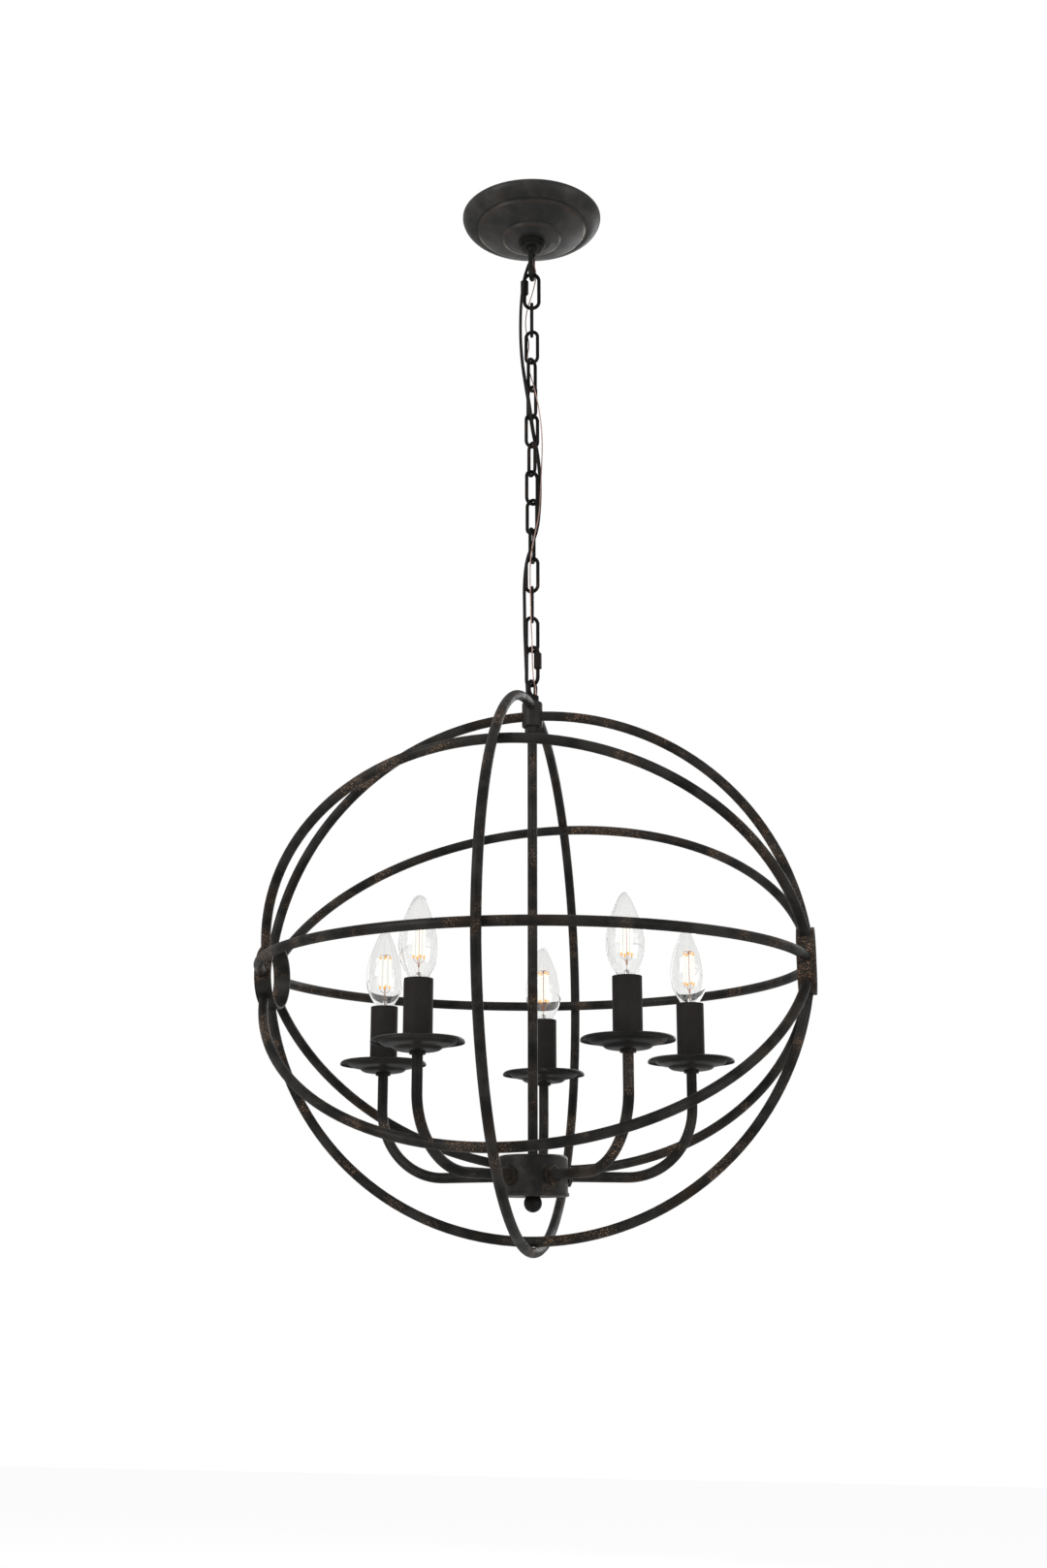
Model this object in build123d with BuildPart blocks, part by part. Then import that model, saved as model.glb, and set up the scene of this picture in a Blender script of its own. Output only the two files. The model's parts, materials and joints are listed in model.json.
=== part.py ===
"""Orb chandelier: five candle lamps inside a cage of steel rods, hung on a chain from a ceiling canopy.

Millimetres. The origin is the centre of the ceiling plane, +Z points up, and the light hangs below it.
The cage's two bands lie on the X axis, and -Y is the front.
"""

import os
from math import asin, atan2, cos, degrees, pi, radians, sin, sqrt, tan

from build123d import *

# ---------------------------------------------------------------- driving dimensions
running_gap = 0.3  # between curved faces that hang in or slide past each other
thread_gap = 0.08  # radial play of a screwed or running fit
weld_gap = 0.1  # between a rod's end and the round face that it is welded to

# ceiling plate and canopy
crossbar_length = 104.0
crossbar_width = 25.0
crossbar_thickness = 2.0
crossbar_corner_r = 6.0
box_screw_spacing = 88.9  # the two screws of a ceiling box
box_screw_slot_width = 4.6
box_screw_slot_length = 13.0
ground_screw_r = 2.0
ground_screw_head_r = 4.2
ground_screw_head_height = 2.4
ground_screw_offset = 24.0
canopy_rim_d = 139.7
canopy_wall = 1.2
canopy_rim_lip = 2.0
canopy_middle_d = 109.0
canopy_middle_drop = 15.2
canopy_inner_d = 58.4
canopy_inner_drop = 25.4
canopy_step_height = 3.2
canopy_floor_fall = 2.2
canopy_edge_fillet = 0.9
canopy_belly = 3.5  # how far the outer tier bulges past a straight line from rim to step

# screw collar ring and the loop that it screws onto
boss_d = 19.2
boss_drop = 35.0  # its lower face, below the ceiling
collar_ring_d = 26.6
collar_ring_lower_d = 22.8
collar_ring_upper_height = 4.3
collar_ring_lower_height = 3.1
loop_neck_d = 11.0
loop_neck_low_d = 7.9
loop_neck_height = 7.0
loop_bore_d = 5.6  # the cords come down out of it
loop_bore_depth = 6.0
loop_bore_flare = 1.3  # past the neck, through the eye's inner side
shank_d = 9.4
shank_nut_flats = 15.0
shank_nut_height = 3.5
canopy_eye_wire = 4.6
canopy_eye_width = 17.6
canopy_eye_drop = 70.6  # its lowest point, below the ceiling
canopy_eye_yaw = 90.0

# chain
link_wire = 3.4
link_length = 37.4
link_width = 15.2
link_yaws = (100, -5, 65, -40, 30, -50, 40, -28, 82, -10, 100, 34)
quick_link_wire = 3.6
quick_link_length = 41.5
quick_link_width = 18.0
quick_link_yaws = (10, -32)  # upper and lower
quick_link_gap = 5.5
quick_link_stub = 2.0  # threaded end above the gap
quick_link_nut_length = 15.6
quick_link_nut_flats = 6.8

# cage
rod_d = 9.0
rod_bend_r = 249.5  # every rod's bend, and the outer ring's radius
band_d = 60.0
band_wall = 2.4
band_width = 16.0
band_chamfer = 0.5
hub_d = 19.4
hub_below_rods = 6.2
hub_shoulder_fillet = 2.4
hub_foot_fillet = 1.2
hub_nut_flats = 12.4
hub_nut_height = 6.0
cage_loop_collar_d = 12.4
cage_loop_collar_height = 6.3
cage_loop_shank_d = 8.8
cage_loop_shank_length = 9.0
cage_eye_wire = 3.8
cage_eye_width = 16.0
cage_eye_height = 16.4
cage_eye_yaw = 70.0

# stem, cluster body, arms
stem_d = 9.0
stem_wall = 1.2
body_d = 62.0
body_height = 32.6
body_wall = 1.6
body_fillet = 4.0
finial_above_rod = 20.5  # clear height between the ball and the lowest rod
base_plate_d = 64.0
base_plate_thickness = 3.0
stem_nut_flats = 14.0
stem_nut_height = 4.0
finial_ball_d = 16.0
finial_seat_d = 11.4  # the flat on top of the ball
finial_screw_depth = 6.0
arm_count = 5
arm_first_angle = 24.1
arm_d = 9.3
arm_wall = 1.2
arm_bend_r = 63.0
arm_below_body_top = 18.0
arm_reach_inside = 5.5
arm_nut_flats = 15.4
arm_nut_height = 3.6
arm_inner_nut_height = 2.6
lamp_circle_r = 149.5

# lamps
saucer_d = 79.6
saucer_crown_above_body = 89.6  # the highest ring of its flange
saucer_crown_d = 72.4
saucer_wall = 1.2
saucer_depth = 11.2
saucer_lip_drop = 3.0  # from the crown down to the rolled rim
saucer_bowl_d = 66.8
saucer_bowl_drop = 1.3
saucer_cup_d = 42.6
saucer_cup_share = 0.36  # of the depth: how high the cup's edge stands
saucer_thinning = 0.95  # its upper skin follows the lower one a little closer than the rim does
saucer_floor_d = 27.0
saucer_collar_d = 13.8
saucer_collar_height = 2.4
nipple_reach = 9.0
sleeve_d = 25.2
sleeve_wall = 1.0
sleeve_length = 60.2
sleeve_fillet = 0.45
socket_d = 19.0
socket_below_sleeve = 10.0
socket_height = 36.0
socket_stem_d = 10.5
bulb_d = 35.0
bulb_height = 74.5  # above its sleeve
bulb_wall = 0.8
bulb_neck_d = 16.6
bulb_neck_depth = 8.6
bulb_outline = ((0.62, 0.0), (1.0, 0.32), (0.82, 0.63), (0.34, 0.93))  # shares of its width and height
bulb_tip_r = 2.2
bulb_cap_d = 11.7
bulb_cap_length = 16.0
bulb_cap_ridge = 0.45
bulb_cap_ridges = 4
bulb_contact_d = 5.0
bulb_contact_height = 1.4
filament_count = 4
filament_d = 1.4
filament_length = 28.0
filament_circle_r = 4.6
glass_stem_d = 5.0
glass_stem_height = 11.0

# cords that run through the chain: x, y, and the place along it, counted in links from the first one
cord_d = 3.2
cord_mouth = (0.1, -0.7)
cord_stations = (
    (-3.3, -3.8, -1.35), (-6.6, -7.3, -0.83), (-9.0, -7.9, -0.17), (-10.3, -6.7, 0.56),
    (-10.3, -6.0, 1.42), (-8.4, -6.7, 2.24), (-5.2, -8.0, 2.94), (-1.9, -8.0, 3.60),
    (-0.3, -5.3, 4.09), (0.7, 1.6, 4.55), (3.0, 7.2, 5.02), (6.1, 8.8, 5.81),
    (6.7, 8.0, 6.60), (6.2, 6.1, 7.33), (4.8, 3.2, 7.99), (-0.1, -0.4, 8.55),
    (-4.8, -3.5, 9.08), (-6.8, -5.6, 9.87), (-6.1, -6.7, 10.76), (-5.8, -7.5, 11.52),
    (-5.2, -6.5, 12.21), (-5.2, -3.5, 12.81),
)
cord_foot = (-4.6, -1.2)
cord_foot_rise = 6.9
ground_wire_d = 1.2
ground_wire_mouth = (-0.3, 1.7)
ground_wire_stations = (
    (4.6, 4.8, -1.25), (0.1, 6.7, -0.59), (-6.6, 6.6, 0.07), (-7.8, 5.2, 0.73),
    (-2.4, 1.4, 1.42), (-4.5, -2.4, 1.91), (-2.5, -2.0, 2.44), (3.1, -6.4, 3.04),
    (7.3, -6.7, 3.70), (10.0, -2.9, 4.42), (10.3, 1.0, 5.15), (8.9, 2.4, 6.01),
    (8.3, 0.2, 6.80), (7.8, -4.4, 7.59), (3.7, -7.7, 8.32), (0.0, -8.7, 9.04),
    (-0.5, -8.6, 9.80), (0.2, -8.6, 10.56), (0.3, -8.5, 11.19), (1.5, -8.0, 11.95),
    (1.5, -7.5, 12.64), (2.7, -5.4, 13.20),
)
ground_wire_foot = (3.8, -2.8)
ground_wire_foot_rise = 5.9
cord_start_depth = 5.0  # inside the loop's bore
cord_mouth_drop = 4.0  # straight down past the bore's lower end
cord_bend_share = 0.45  # of the shorter run beside a bend

# ---------------------------------------------------------------- sizes that follow
canopy_drop = canopy_inner_drop + canopy_floor_fall
canopy_bore_r = boss_d / 2 + running_gap
loop_mouth_z = -boss_drop - loop_neck_height
canopy_eye_z = -canopy_eye_drop + canopy_eye_wire / 2
quick_link_top_z = canopy_eye_z + (canopy_eye_wire + quick_link_wire) / 2 + running_gap
quick_link_span = quick_link_length - quick_link_wire
first_link_z = quick_link_top_z - quick_link_span + (quick_link_wire + link_wire) / 2 + running_gap
link_span = link_length - link_wire
link_pitch = link_span - link_wire - running_gap
last_link_z = first_link_z - (len(link_yaws) - 1) * link_pitch
quick_link_low_z = last_link_z - link_span + (quick_link_wire + link_wire) / 2 + running_gap
cage_eye_z = quick_link_low_z - quick_link_span + (quick_link_wire + cage_eye_wire) / 2 + running_gap
cage_eye_top = cage_eye_z + cage_eye_wire / 2
collar_top = cage_eye_top - cage_eye_height
hub_top = collar_top - cage_loop_collar_height
inner_rod_r = rod_bend_r - rod_d - running_gap  # the inner rods pass just inside the outer ring
rod_shift = rod_bend_r - inner_rod_r
cage_z = hub_top - rod_bend_r - rod_d / 2 - weld_gap
hub_bottom = cage_z + inner_rod_r - rod_d / 2 - hub_below_rods
band_r = band_d / 2
rod_end_angle = degrees(asin((band_r + rod_shift) / rod_bend_r))
band_x = rod_bend_r * cos(radians(rod_end_angle))
weld_depth = 3.0  # how far a rod runs past its joint before it is trimmed to the round face
ball_z = cage_z - inner_rod_r + rod_d / 2 + finial_above_rod + finial_ball_d / 2
plate_bottom = ball_z + sqrt((finial_ball_d / 2) ** 2 - (finial_seat_d / 2) ** 2)
body_bottom = plate_bottom + base_plate_thickness
body_top = body_bottom + body_height
arm_z = body_top - arm_below_body_top
stem_bore_r = stem_d / 2 - stem_wall
saucer_crown_z = body_top + saucer_crown_above_body
saucer_bottom_z = saucer_crown_z - saucer_depth
saucer_floor_z = saucer_bottom_z + saucer_wall
arm_top_z = saucer_bottom_z - saucer_collar_height
nipple_r = arm_d / 2 - arm_wall - thread_gap
sleeve_top_z = saucer_floor_z + sleeve_length
socket_top_z = sleeve_top_z - socket_below_sleeve
arm_angles = [arm_first_angle + k * 360 / arm_count for k in range(arm_count)]

os.makedirs("parts", exist_ok=True)


def keep(piece: BuildPart, label: str) -> None:
    """Name a finished piece and write it."""
    piece.part.label = label
    export_step(piece.part, f"parts/{label}.step")


def upright_plane(yaw: float, z: float, x: float = 0.0, y: float = 0.0) -> Plane:
    """A vertical plane through (x, y, z): its own x is level and turned by yaw, and its own y is up."""
    across = (cos(radians(yaw)), sin(radians(yaw)), 0)
    return Plane(origin=(x, y, z), x_dir=across, z_dir=(across[1], -across[0], 0))


def side_plane(x: float) -> Plane:
    """The plane square to the X axis at x, centred on the cage."""
    return Plane(origin=(x, 0, cage_z), x_dir=(0, 1, 0), z_dir=(1, 0, 0))


def lamp_point(angle: float) -> tuple:
    """Where a lamp's axis stands, seen from above."""
    return lamp_circle_r * cos(radians(angle)), lamp_circle_r * sin(radians(angle))


# ---------------------------------------------------------------- ceiling side
with BuildPart() as ceiling_crossbar:
    with BuildSketch(Plane.XY.offset(-crossbar_thickness)):
        RectangleRounded(crossbar_length, crossbar_width, crossbar_corner_r)
        with GridLocations(box_screw_spacing, 0, 2, 1):
            SlotOverall(box_screw_slot_length, box_screw_slot_width, mode=Mode.SUBTRACT)
        Circle(shank_d / 2 + thread_gap, mode=Mode.SUBTRACT)
        with Locations((ground_screw_offset, 0)):
            Circle(ground_screw_r + thread_gap, mode=Mode.SUBTRACT)
    extrude(amount=crossbar_thickness)
keep(ceiling_crossbar, "ceiling_crossbar")

with BuildPart() as ground_screw:
    with BuildSketch(Plane.XY.offset(-crossbar_thickness - ground_screw_head_height)):
        with Locations((ground_screw_offset, 0)):
            Circle(ground_screw_head_r)
    extrude(amount=ground_screw_head_height)
    chamfer(ground_screw.faces().sort_by(Axis.Z)[0].edges(), ground_screw_head_height / 4)
    with BuildSketch(Plane.XY.offset(-crossbar_thickness)):
        with Locations((ground_screw_offset, 0)):
            Circle(ground_screw_r)
    extrude(amount=crossbar_thickness)
    with BuildSketch(Plane.XY.offset(-crossbar_thickness - ground_screw_head_height)):
        with Locations((ground_screw_offset, 0)):
            Rectangle(ground_screw_head_r * 2, ground_screw_head_height / 3)
    extrude(amount=ground_screw_head_height / 3, mode=Mode.SUBTRACT)
keep(ground_screw, "ground_screw")

with BuildPart() as crossbar_nut:
    with BuildSketch(Plane.XY.offset(-crossbar_thickness - shank_nut_height)):
        RegularPolygon(shank_nut_flats / 2, 6, major_radius=False)
        Circle(shank_d / 2 + thread_gap, mode=Mode.SUBTRACT)
    extrude(amount=shank_nut_height)
keep(crossbar_nut, "crossbar_nut")


def canopy_outline(inset: float) -> Sketch:
    """Half of the canopy's stepped dome, drawn in by inset, from the ceiling plane down."""
    rim_r = canopy_rim_d / 2 - inset
    middle_r = canopy_middle_d / 2 - inset
    inner_r = canopy_inner_d / 2 - inset
    lip = (rim_r, -canopy_rim_lip + inset)
    middle_z = -canopy_middle_drop + inset
    inner_z = -canopy_inner_drop + inset
    edge = canopy_edge_fillet
    middle_step = (middle_r + edge, middle_z + canopy_step_height)
    inner_step = (inner_r + edge, inner_z + canopy_step_height)
    slope = atan2(lip[1] - middle_step[1], lip[0] - middle_step[0])
    belly = (
        (lip[0] + middle_step[0]) / 2 + canopy_belly * sin(slope),
        (lip[1] + middle_step[1]) / 2 - canopy_belly * cos(slope),
    )
    dish = ((middle_r + inner_r) / 2, (middle_z + inner_step[1]) / 2 - edge)
    with BuildSketch(Plane.XZ) as half:
        with BuildLine():
            Polyline((0, 0), (rim_r, 0), lip)
            ThreePointArc(lip, belly, middle_step)
            Line(middle_step, (middle_r, middle_z + edge))
            RadiusArc((middle_r, middle_z + edge), (middle_r - edge, middle_z), edge)
            ThreePointArc((middle_r - edge, middle_z), dish, inner_step)
            Line(inner_step, (inner_r, inner_z + edge))
            RadiusArc((inner_r, inner_z + edge), (inner_r - edge, inner_z), edge)
            Polyline(
                (inner_r - edge, inner_z),
                (boss_d, -canopy_drop + inset),
                (0, -canopy_drop + inset),
                (0, 0),
            )
        make_face()
    return half.sketch


with BuildPart() as canopy:
    revolve(canopy_outline(0), axis=Axis.Z)
    revolve(canopy_outline(canopy_wall), axis=Axis.Z, mode=Mode.SUBTRACT)
    with BuildSketch(Plane.XY.offset(-canopy_drop)):
        Circle(canopy_bore_r)
    extrude(amount=canopy_drop, mode=Mode.SUBTRACT)
keep(canopy, "canopy")

with BuildPart() as collar_ring:
    with BuildSketch(Plane.XY.offset(-canopy_drop - collar_ring_upper_height)):
        Circle(collar_ring_d / 2)
    extrude(amount=collar_ring_upper_height)
    chamfer(collar_ring.faces().sort_by(Axis.Z)[0].edges(), (collar_ring_d - collar_ring_lower_d) / 8)
    with BuildSketch(Plane.XY.offset(-canopy_drop - collar_ring_upper_height - collar_ring_lower_height)):
        Circle(collar_ring_lower_d / 2)
    extrude(amount=collar_ring_lower_height)
    chamfer(collar_ring.faces().sort_by(Axis.Z)[0].edges(), collar_ring_lower_height / 5)
    with BuildSketch(Plane.XY.offset(-canopy_drop)):
        Circle(boss_d / 2 + thread_gap)
    extrude(amount=-collar_ring_upper_height - collar_ring_lower_height, mode=Mode.SUBTRACT)
keep(collar_ring, "collar_ring")


def stadium_path(length: float, width: float, wire: float, plane: Plane) -> Wire:
    """The centre line of a closed loop of wire whose top centre is at the plane's origin."""
    bend = (width - wire) / 2
    low = -(length - wire)
    with BuildLine(plane) as path:
        Line((bend, low + bend), (bend, -bend))
        CenterArc((0, -bend), bend, 0, 180)
        Line((-bend, -bend), (-bend, low + bend))
        CenterArc((0, low + bend), bend, 180, 180)
    return path.wire()


def section(path: Wire, diameter: float) -> Sketch:
    """The round section of a wire or rod, square to the start of its path."""
    with BuildSketch(Plane(origin=path @ 0, z_dir=path % 0)) as disc:
        Circle(diameter / 2)
    return disc.sketch


with BuildPart() as canopy_loop:
    # boss that the collar ring screws onto, and the shank that screws into the crossbar
    with BuildSketch():
        Circle(shank_d / 2)
    extrude(amount=-canopy_drop)
    with BuildSketch(Plane.XY.offset(-boss_drop)):
        Circle(boss_d / 2)
    extrude(amount=boss_drop - canopy_drop + canopy_wall)
    # neck that narrows into the eye
    with BuildSketch(Plane.XY.offset(-boss_drop)):
        Circle(loop_neck_d / 2)
    with BuildSketch(Plane.XY.offset(loop_mouth_z)):
        Circle(loop_neck_low_d / 2)
    loft()
    eye = stadium_path(
        canopy_eye_drop + loop_mouth_z + canopy_eye_wire,
        canopy_eye_width,
        canopy_eye_wire,
        upright_plane(canopy_eye_yaw, loop_mouth_z + canopy_eye_wire / 2),
    )
    sweep(section(eye, canopy_eye_wire), path=eye)
    with BuildSketch(Plane.XY.offset(loop_mouth_z - loop_bore_flare)):
        Circle(loop_bore_d / 2)
    extrude(amount=loop_bore_depth + loop_bore_flare, mode=Mode.SUBTRACT)
keep(canopy_loop, "canopy_loop")

# ---------------------------------------------------------------- chain
for place, top_z, yaw, nut_side in (
    ("upper", quick_link_top_z, quick_link_yaws[0], -1),
    ("lower", quick_link_low_z, quick_link_yaws[1], 1),
):
    bend = (quick_link_width - quick_link_wire) / 2
    low = -quick_link_span
    arm_x = nut_side * bend
    gap_top = -bend - quick_link_stub
    with BuildPart() as quick_link:
        with BuildLine(upright_plane(yaw, top_z)) as open_loop:
            Line((arm_x, gap_top), (arm_x, -bend))
            ThreePointArc((arm_x, -bend), (0, 0), (-arm_x, -bend))
            Line((-arm_x, -bend), (-arm_x, low + bend))
            ThreePointArc((-arm_x, low + bend), (0, low), (arm_x, low + bend))
            Line((arm_x, low + bend), (arm_x, gap_top - quick_link_gap))
        sweep(section(open_loop.wire(), quick_link_wire), path=open_loop.wire())
    keep(quick_link, f"quick_link_{place}")

    across = upright_plane(yaw, top_z).x_dir
    with BuildPart() as quick_link_nut:
        with BuildSketch(Plane.XY.offset(top_z - bend - quick_link_nut_length)):
            with Locations((across.X * arm_x, across.Y * arm_x)):
                RegularPolygon(quick_link_nut_flats / 2, 6, major_radius=False, rotation=yaw)
                Circle(quick_link_wire / 2 + thread_gap, mode=Mode.SUBTRACT)
        extrude(amount=quick_link_nut_length)
        ends = quick_link_nut.faces().filter_by(Axis.Z)
        chamfer([e for f in ends for e in f.outer_wire().edges()], quick_link_nut_flats / 12)
    keep(quick_link_nut, f"quick_link_nut_{place}")

for number, yaw in enumerate(link_yaws, 1):
    link_z = first_link_z - (number - 1) * link_pitch
    path = stadium_path(link_length, link_width, link_wire, upright_plane(yaw, link_z))
    with BuildPart() as chain_link:
        sweep(section(path, link_wire), path=path)
    keep(chain_link, f"chain_link_{number:02d}")


def hanging_points(mouth: tuple, stations: tuple, foot: tuple, foot_rise: float) -> list:
    """The corner points of a cord from inside the canopy loop to the cage loop's collar."""
    places = [(x, y, first_link_z - place * link_pitch) for x, y, place in stations]
    top = [(*mouth, loop_mouth_z + cord_start_depth), (*mouth, loop_mouth_z - cord_mouth_drop)]
    return top + places + [(*foot, collar_top + foot_rise), (*foot, collar_top)]


def bend_radii(points: list) -> list:
    """One radius for each inner corner, as large as its share of the shorter run allows."""
    radii = []
    for before, corner, after in zip(points, points[1:], points[2:]):
        run_in = Vector(*corner) - Vector(*before)
        run_out = Vector(*after) - Vector(*corner)
        shorter = min(run_in.length, run_out.length)
        radii.append(cord_bend_share * shorter / tan(radians(run_in.get_angle(run_out)) / 2))
    return radii


for label, diameter, points in (
    ("supply_cord", cord_d, hanging_points(cord_mouth, cord_stations, cord_foot, cord_foot_rise)),
    (
        "ground_wire",
        ground_wire_d,
        hanging_points(ground_wire_mouth, ground_wire_stations, ground_wire_foot, ground_wire_foot_rise),
    ),
):
    radii = bend_radii(points)
    with BuildPart() as hanging_cord:
        with BuildLine() as run:
            FilletPolyline(*points, radius=radii)
        sweep(section(run.wire(), diameter), path=run.wire())
    keep(hanging_cord, label)
    expected = run.wire().length * pi * diameter**2 / 4
    print(label, "length", round(run.wire().length, 1), "tightest bends", sorted(round(r, 1) for r in radii)[:6])
    print(label, "volume share", round(hanging_cord.part.volume / expected, 4))

# ---------------------------------------------------------------- cage
with BuildPart() as cage_loop:
    with BuildSketch(Plane.XY.offset(hub_top)):
        Circle(cage_loop_collar_d / 2)
    extrude(amount=cage_loop_collar_height)
    chamfer(cage_loop.faces().sort_by(Axis.Z)[-1].edges(), cage_loop_collar_height / 12)
    with BuildSketch(Plane.XY.offset(hub_top)):
        Circle(cage_loop_shank_d / 2)
    extrude(amount=-cage_loop_shank_length)
    eye = stadium_path(
        cage_eye_height + cage_eye_wire / 2,
        cage_eye_width,
        cage_eye_wire,
        upright_plane(cage_eye_yaw, cage_eye_z),
    )
    sweep(section(eye, cage_eye_wire), path=eye)
keep(cage_loop, "cage_loop")

with BuildPart() as top_hub:
    with BuildSketch(Plane.XY.offset(hub_bottom)):
        Circle(hub_d / 2)
        Circle(stem_d / 2 + thread_gap, mode=Mode.SUBTRACT)
    extrude(amount=hub_top - hub_bottom)
    fillet(top_hub.faces().sort_by(Axis.Z)[-1].outer_wire().edges(), hub_shoulder_fillet)
    fillet(top_hub.faces().sort_by(Axis.Z)[0].outer_wire().edges(), hub_foot_fillet)
keep(top_hub, "top_hub")

with BuildPart() as hub_nut:
    with BuildSketch(Plane.XY.offset(hub_bottom - hub_nut_height)):
        RegularPolygon(hub_nut_flats / 2, 6, major_radius=False)
        Circle(stem_d / 2 + thread_gap, mode=Mode.SUBTRACT)
    extrude(amount=hub_nut_height)
    chamfer(hub_nut.faces().sort_by(Axis.Z)[0].outer_wire().edges(), hub_nut_height / 10)
keep(hub_nut, "hub_nut")


def rod_plane(tilt: float) -> Plane:
    """The plane of a half ring: its own x lies along X, and its own y points at the apex, tilt up from +Y."""
    return Plane(
        origin=(0, 0, cage_z),
        x_dir=(1, 0, 0),
        z_dir=(0, -sin(radians(tilt)), cos(radians(tilt))),
    )


def trim_to_bands() -> None:
    """Cuts rods off at the two bands' outer faces."""
    with Locations((-band_x, 0, cage_z), (band_x, 0, cage_z)):
        Cylinder(band_r + weld_gap, band_width * 2, rotation=(0, 90, 0), mode=Mode.SUBTRACT)


def trim_to_hub() -> None:
    """Cuts rods off at the hub's outer face."""
    with Locations((0, 0, (hub_top + hub_bottom) / 2)):
        Cylinder(hub_d / 2 + weld_gap, 2 * (hub_top - hub_bottom), mode=Mode.SUBTRACT)


past_weld = degrees(weld_depth / rod_bend_r)
half_rings = {
    "rod_back_upper": 45,
    "rod_front_upper": 135,
    "rod_front_level": 180,
    "rod_front_lower": 225,
    "rod_bottom": 270,
    "rod_back_lower": 315,
    "rod_back_level": 0,
}
for label, tilt in half_rings.items():
    with BuildPart() as half_ring:
        with BuildLine(rod_plane(tilt)) as bow:
            start = rod_end_angle - past_weld
            CenterArc((0, -rod_shift), rod_bend_r, start, 180 - 2 * start)
        sweep(section(bow.wire(), rod_d), path=bow.wire())
        trim_to_bands()
    keep(half_ring, label)

hub_angle = degrees(asin((hub_d / 2 - weld_depth) / rod_bend_r))
with BuildPart() as rod_top:
    for start in (rod_end_angle - past_weld, 90 + hub_angle):
        with BuildLine(rod_plane(90)) as bow:
            CenterArc((0, -rod_shift), rod_bend_r, start, 90 - hub_angle - rod_end_angle + past_weld)
        sweep(section(bow.wire(), rod_d), path=bow.wire())
    trim_to_bands()
    trim_to_hub()
keep(rod_top, "rod_top")

with BuildPart() as outer_ring:
    with BuildLine(side_plane(0)) as bow:
        CenterArc((0, 0), rod_bend_r, 90 + hub_angle, 180 - hub_angle)
        CenterArc((0, 0), rod_bend_r, 270, 180 - hub_angle)
    sweep(section(bow.wire(), rod_d), path=bow.wire())
    trim_to_hub()
keep(outer_ring, "outer_ring")

for label, side in (("band_left", -1), ("band_right", 1)):
    with BuildPart() as band:
        with BuildSketch(side_plane(side * band_x - band_width / 2)):
            Circle(band_r)
            Circle(band_r - band_wall, mode=Mode.SUBTRACT)
        extrude(amount=band_width)
        chamfer(band.faces().filter_by(Axis.X).edges(), band_chamfer)
    keep(band, label)

# ---------------------------------------------------------------- stem and cluster body
stem_top = hub_top - cage_loop_shank_length - running_gap
with BuildPart() as stem_tube:
    with BuildSketch(Plane.XY.offset(plate_bottom)):
        Circle(stem_d / 2)
        Circle(stem_bore_r, mode=Mode.SUBTRACT)
    extrude(amount=stem_top - plate_bottom)
keep(stem_tube, "stem_tube")

with BuildPart() as cluster_body:
    with BuildSketch(Plane.XY.offset(body_bottom)):
        Circle(body_d / 2)
    extrude(amount=body_height)
    fillet(cluster_body.faces().sort_by(Axis.Z)[-1].edges(), body_fillet)
    with BuildSketch(Plane.XY.offset(body_bottom)):
        Circle(body_d / 2 - body_wall)
    extrude(amount=body_height - body_wall - body_fillet / 2, mode=Mode.SUBTRACT)
    with BuildSketch(Plane.XY.offset(body_bottom)):
        Circle(stem_d / 2 + thread_gap)
    extrude(amount=body_height, mode=Mode.SUBTRACT)
    for angle in arm_angles:
        with BuildSketch(Plane(origin=(0, 0, arm_z), z_dir=(cos(radians(angle)), sin(radians(angle)), 0))):
            Circle(arm_d / 2 + thread_gap)
        extrude(amount=body_d, mode=Mode.SUBTRACT)
keep(cluster_body, "cluster_body")

with BuildPart() as base_plate:
    with BuildSketch(Plane.XY.offset(plate_bottom)):
        Circle(base_plate_d / 2)
        Circle(stem_d / 2 + thread_gap, mode=Mode.SUBTRACT)
    extrude(amount=base_plate_thickness)
    fillet(base_plate.faces().sort_by(Axis.Z)[0].outer_wire().edges(), base_plate_thickness / 3)
keep(base_plate, "base_plate")

with BuildPart() as stem_nut:
    with BuildSketch(Plane.XY.offset(body_bottom)):
        RegularPolygon(stem_nut_flats / 2, 6, major_radius=False)
        Circle(stem_d / 2 + thread_gap, mode=Mode.SUBTRACT)
    extrude(amount=stem_nut_height)
keep(stem_nut, "stem_nut")

with BuildPart() as finial:
    with Locations((0, 0, ball_z)):
        Sphere(finial_ball_d / 2)
    with BuildSketch(Plane.XY.offset(plate_bottom)):
        Circle(finial_ball_d / 2)
    extrude(amount=finial_ball_d / 2, mode=Mode.SUBTRACT)
    with BuildSketch(Plane.XY.offset(plate_bottom)):
        Circle(stem_bore_r - thread_gap)
    extrude(amount=finial_screw_depth)
keep(finial, "finial")

# ---------------------------------------------------------------- arms and lamps
arm_start_r = body_d / 2 - body_wall - arm_reach_inside
for number, angle in enumerate(arm_angles, 1):
    with BuildPart() as arm:
        with BuildLine(upright_plane(angle, arm_z)) as bow:
            Line((arm_start_r, 0), (lamp_circle_r - arm_bend_r, 0))
            CenterArc((lamp_circle_r - arm_bend_r, arm_bend_r), arm_bend_r, -90, 90)
            Line((lamp_circle_r, arm_bend_r), (lamp_circle_r, arm_top_z - arm_z))
        with BuildSketch(Plane(origin=bow.wire() @ 0, z_dir=bow.wire() % 0)):
            Circle(arm_d / 2)
            Circle(arm_d / 2 - arm_wall, mode=Mode.SUBTRACT)
        sweep(path=bow.wire())
    keep(arm, f"arm_{number}")


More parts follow.
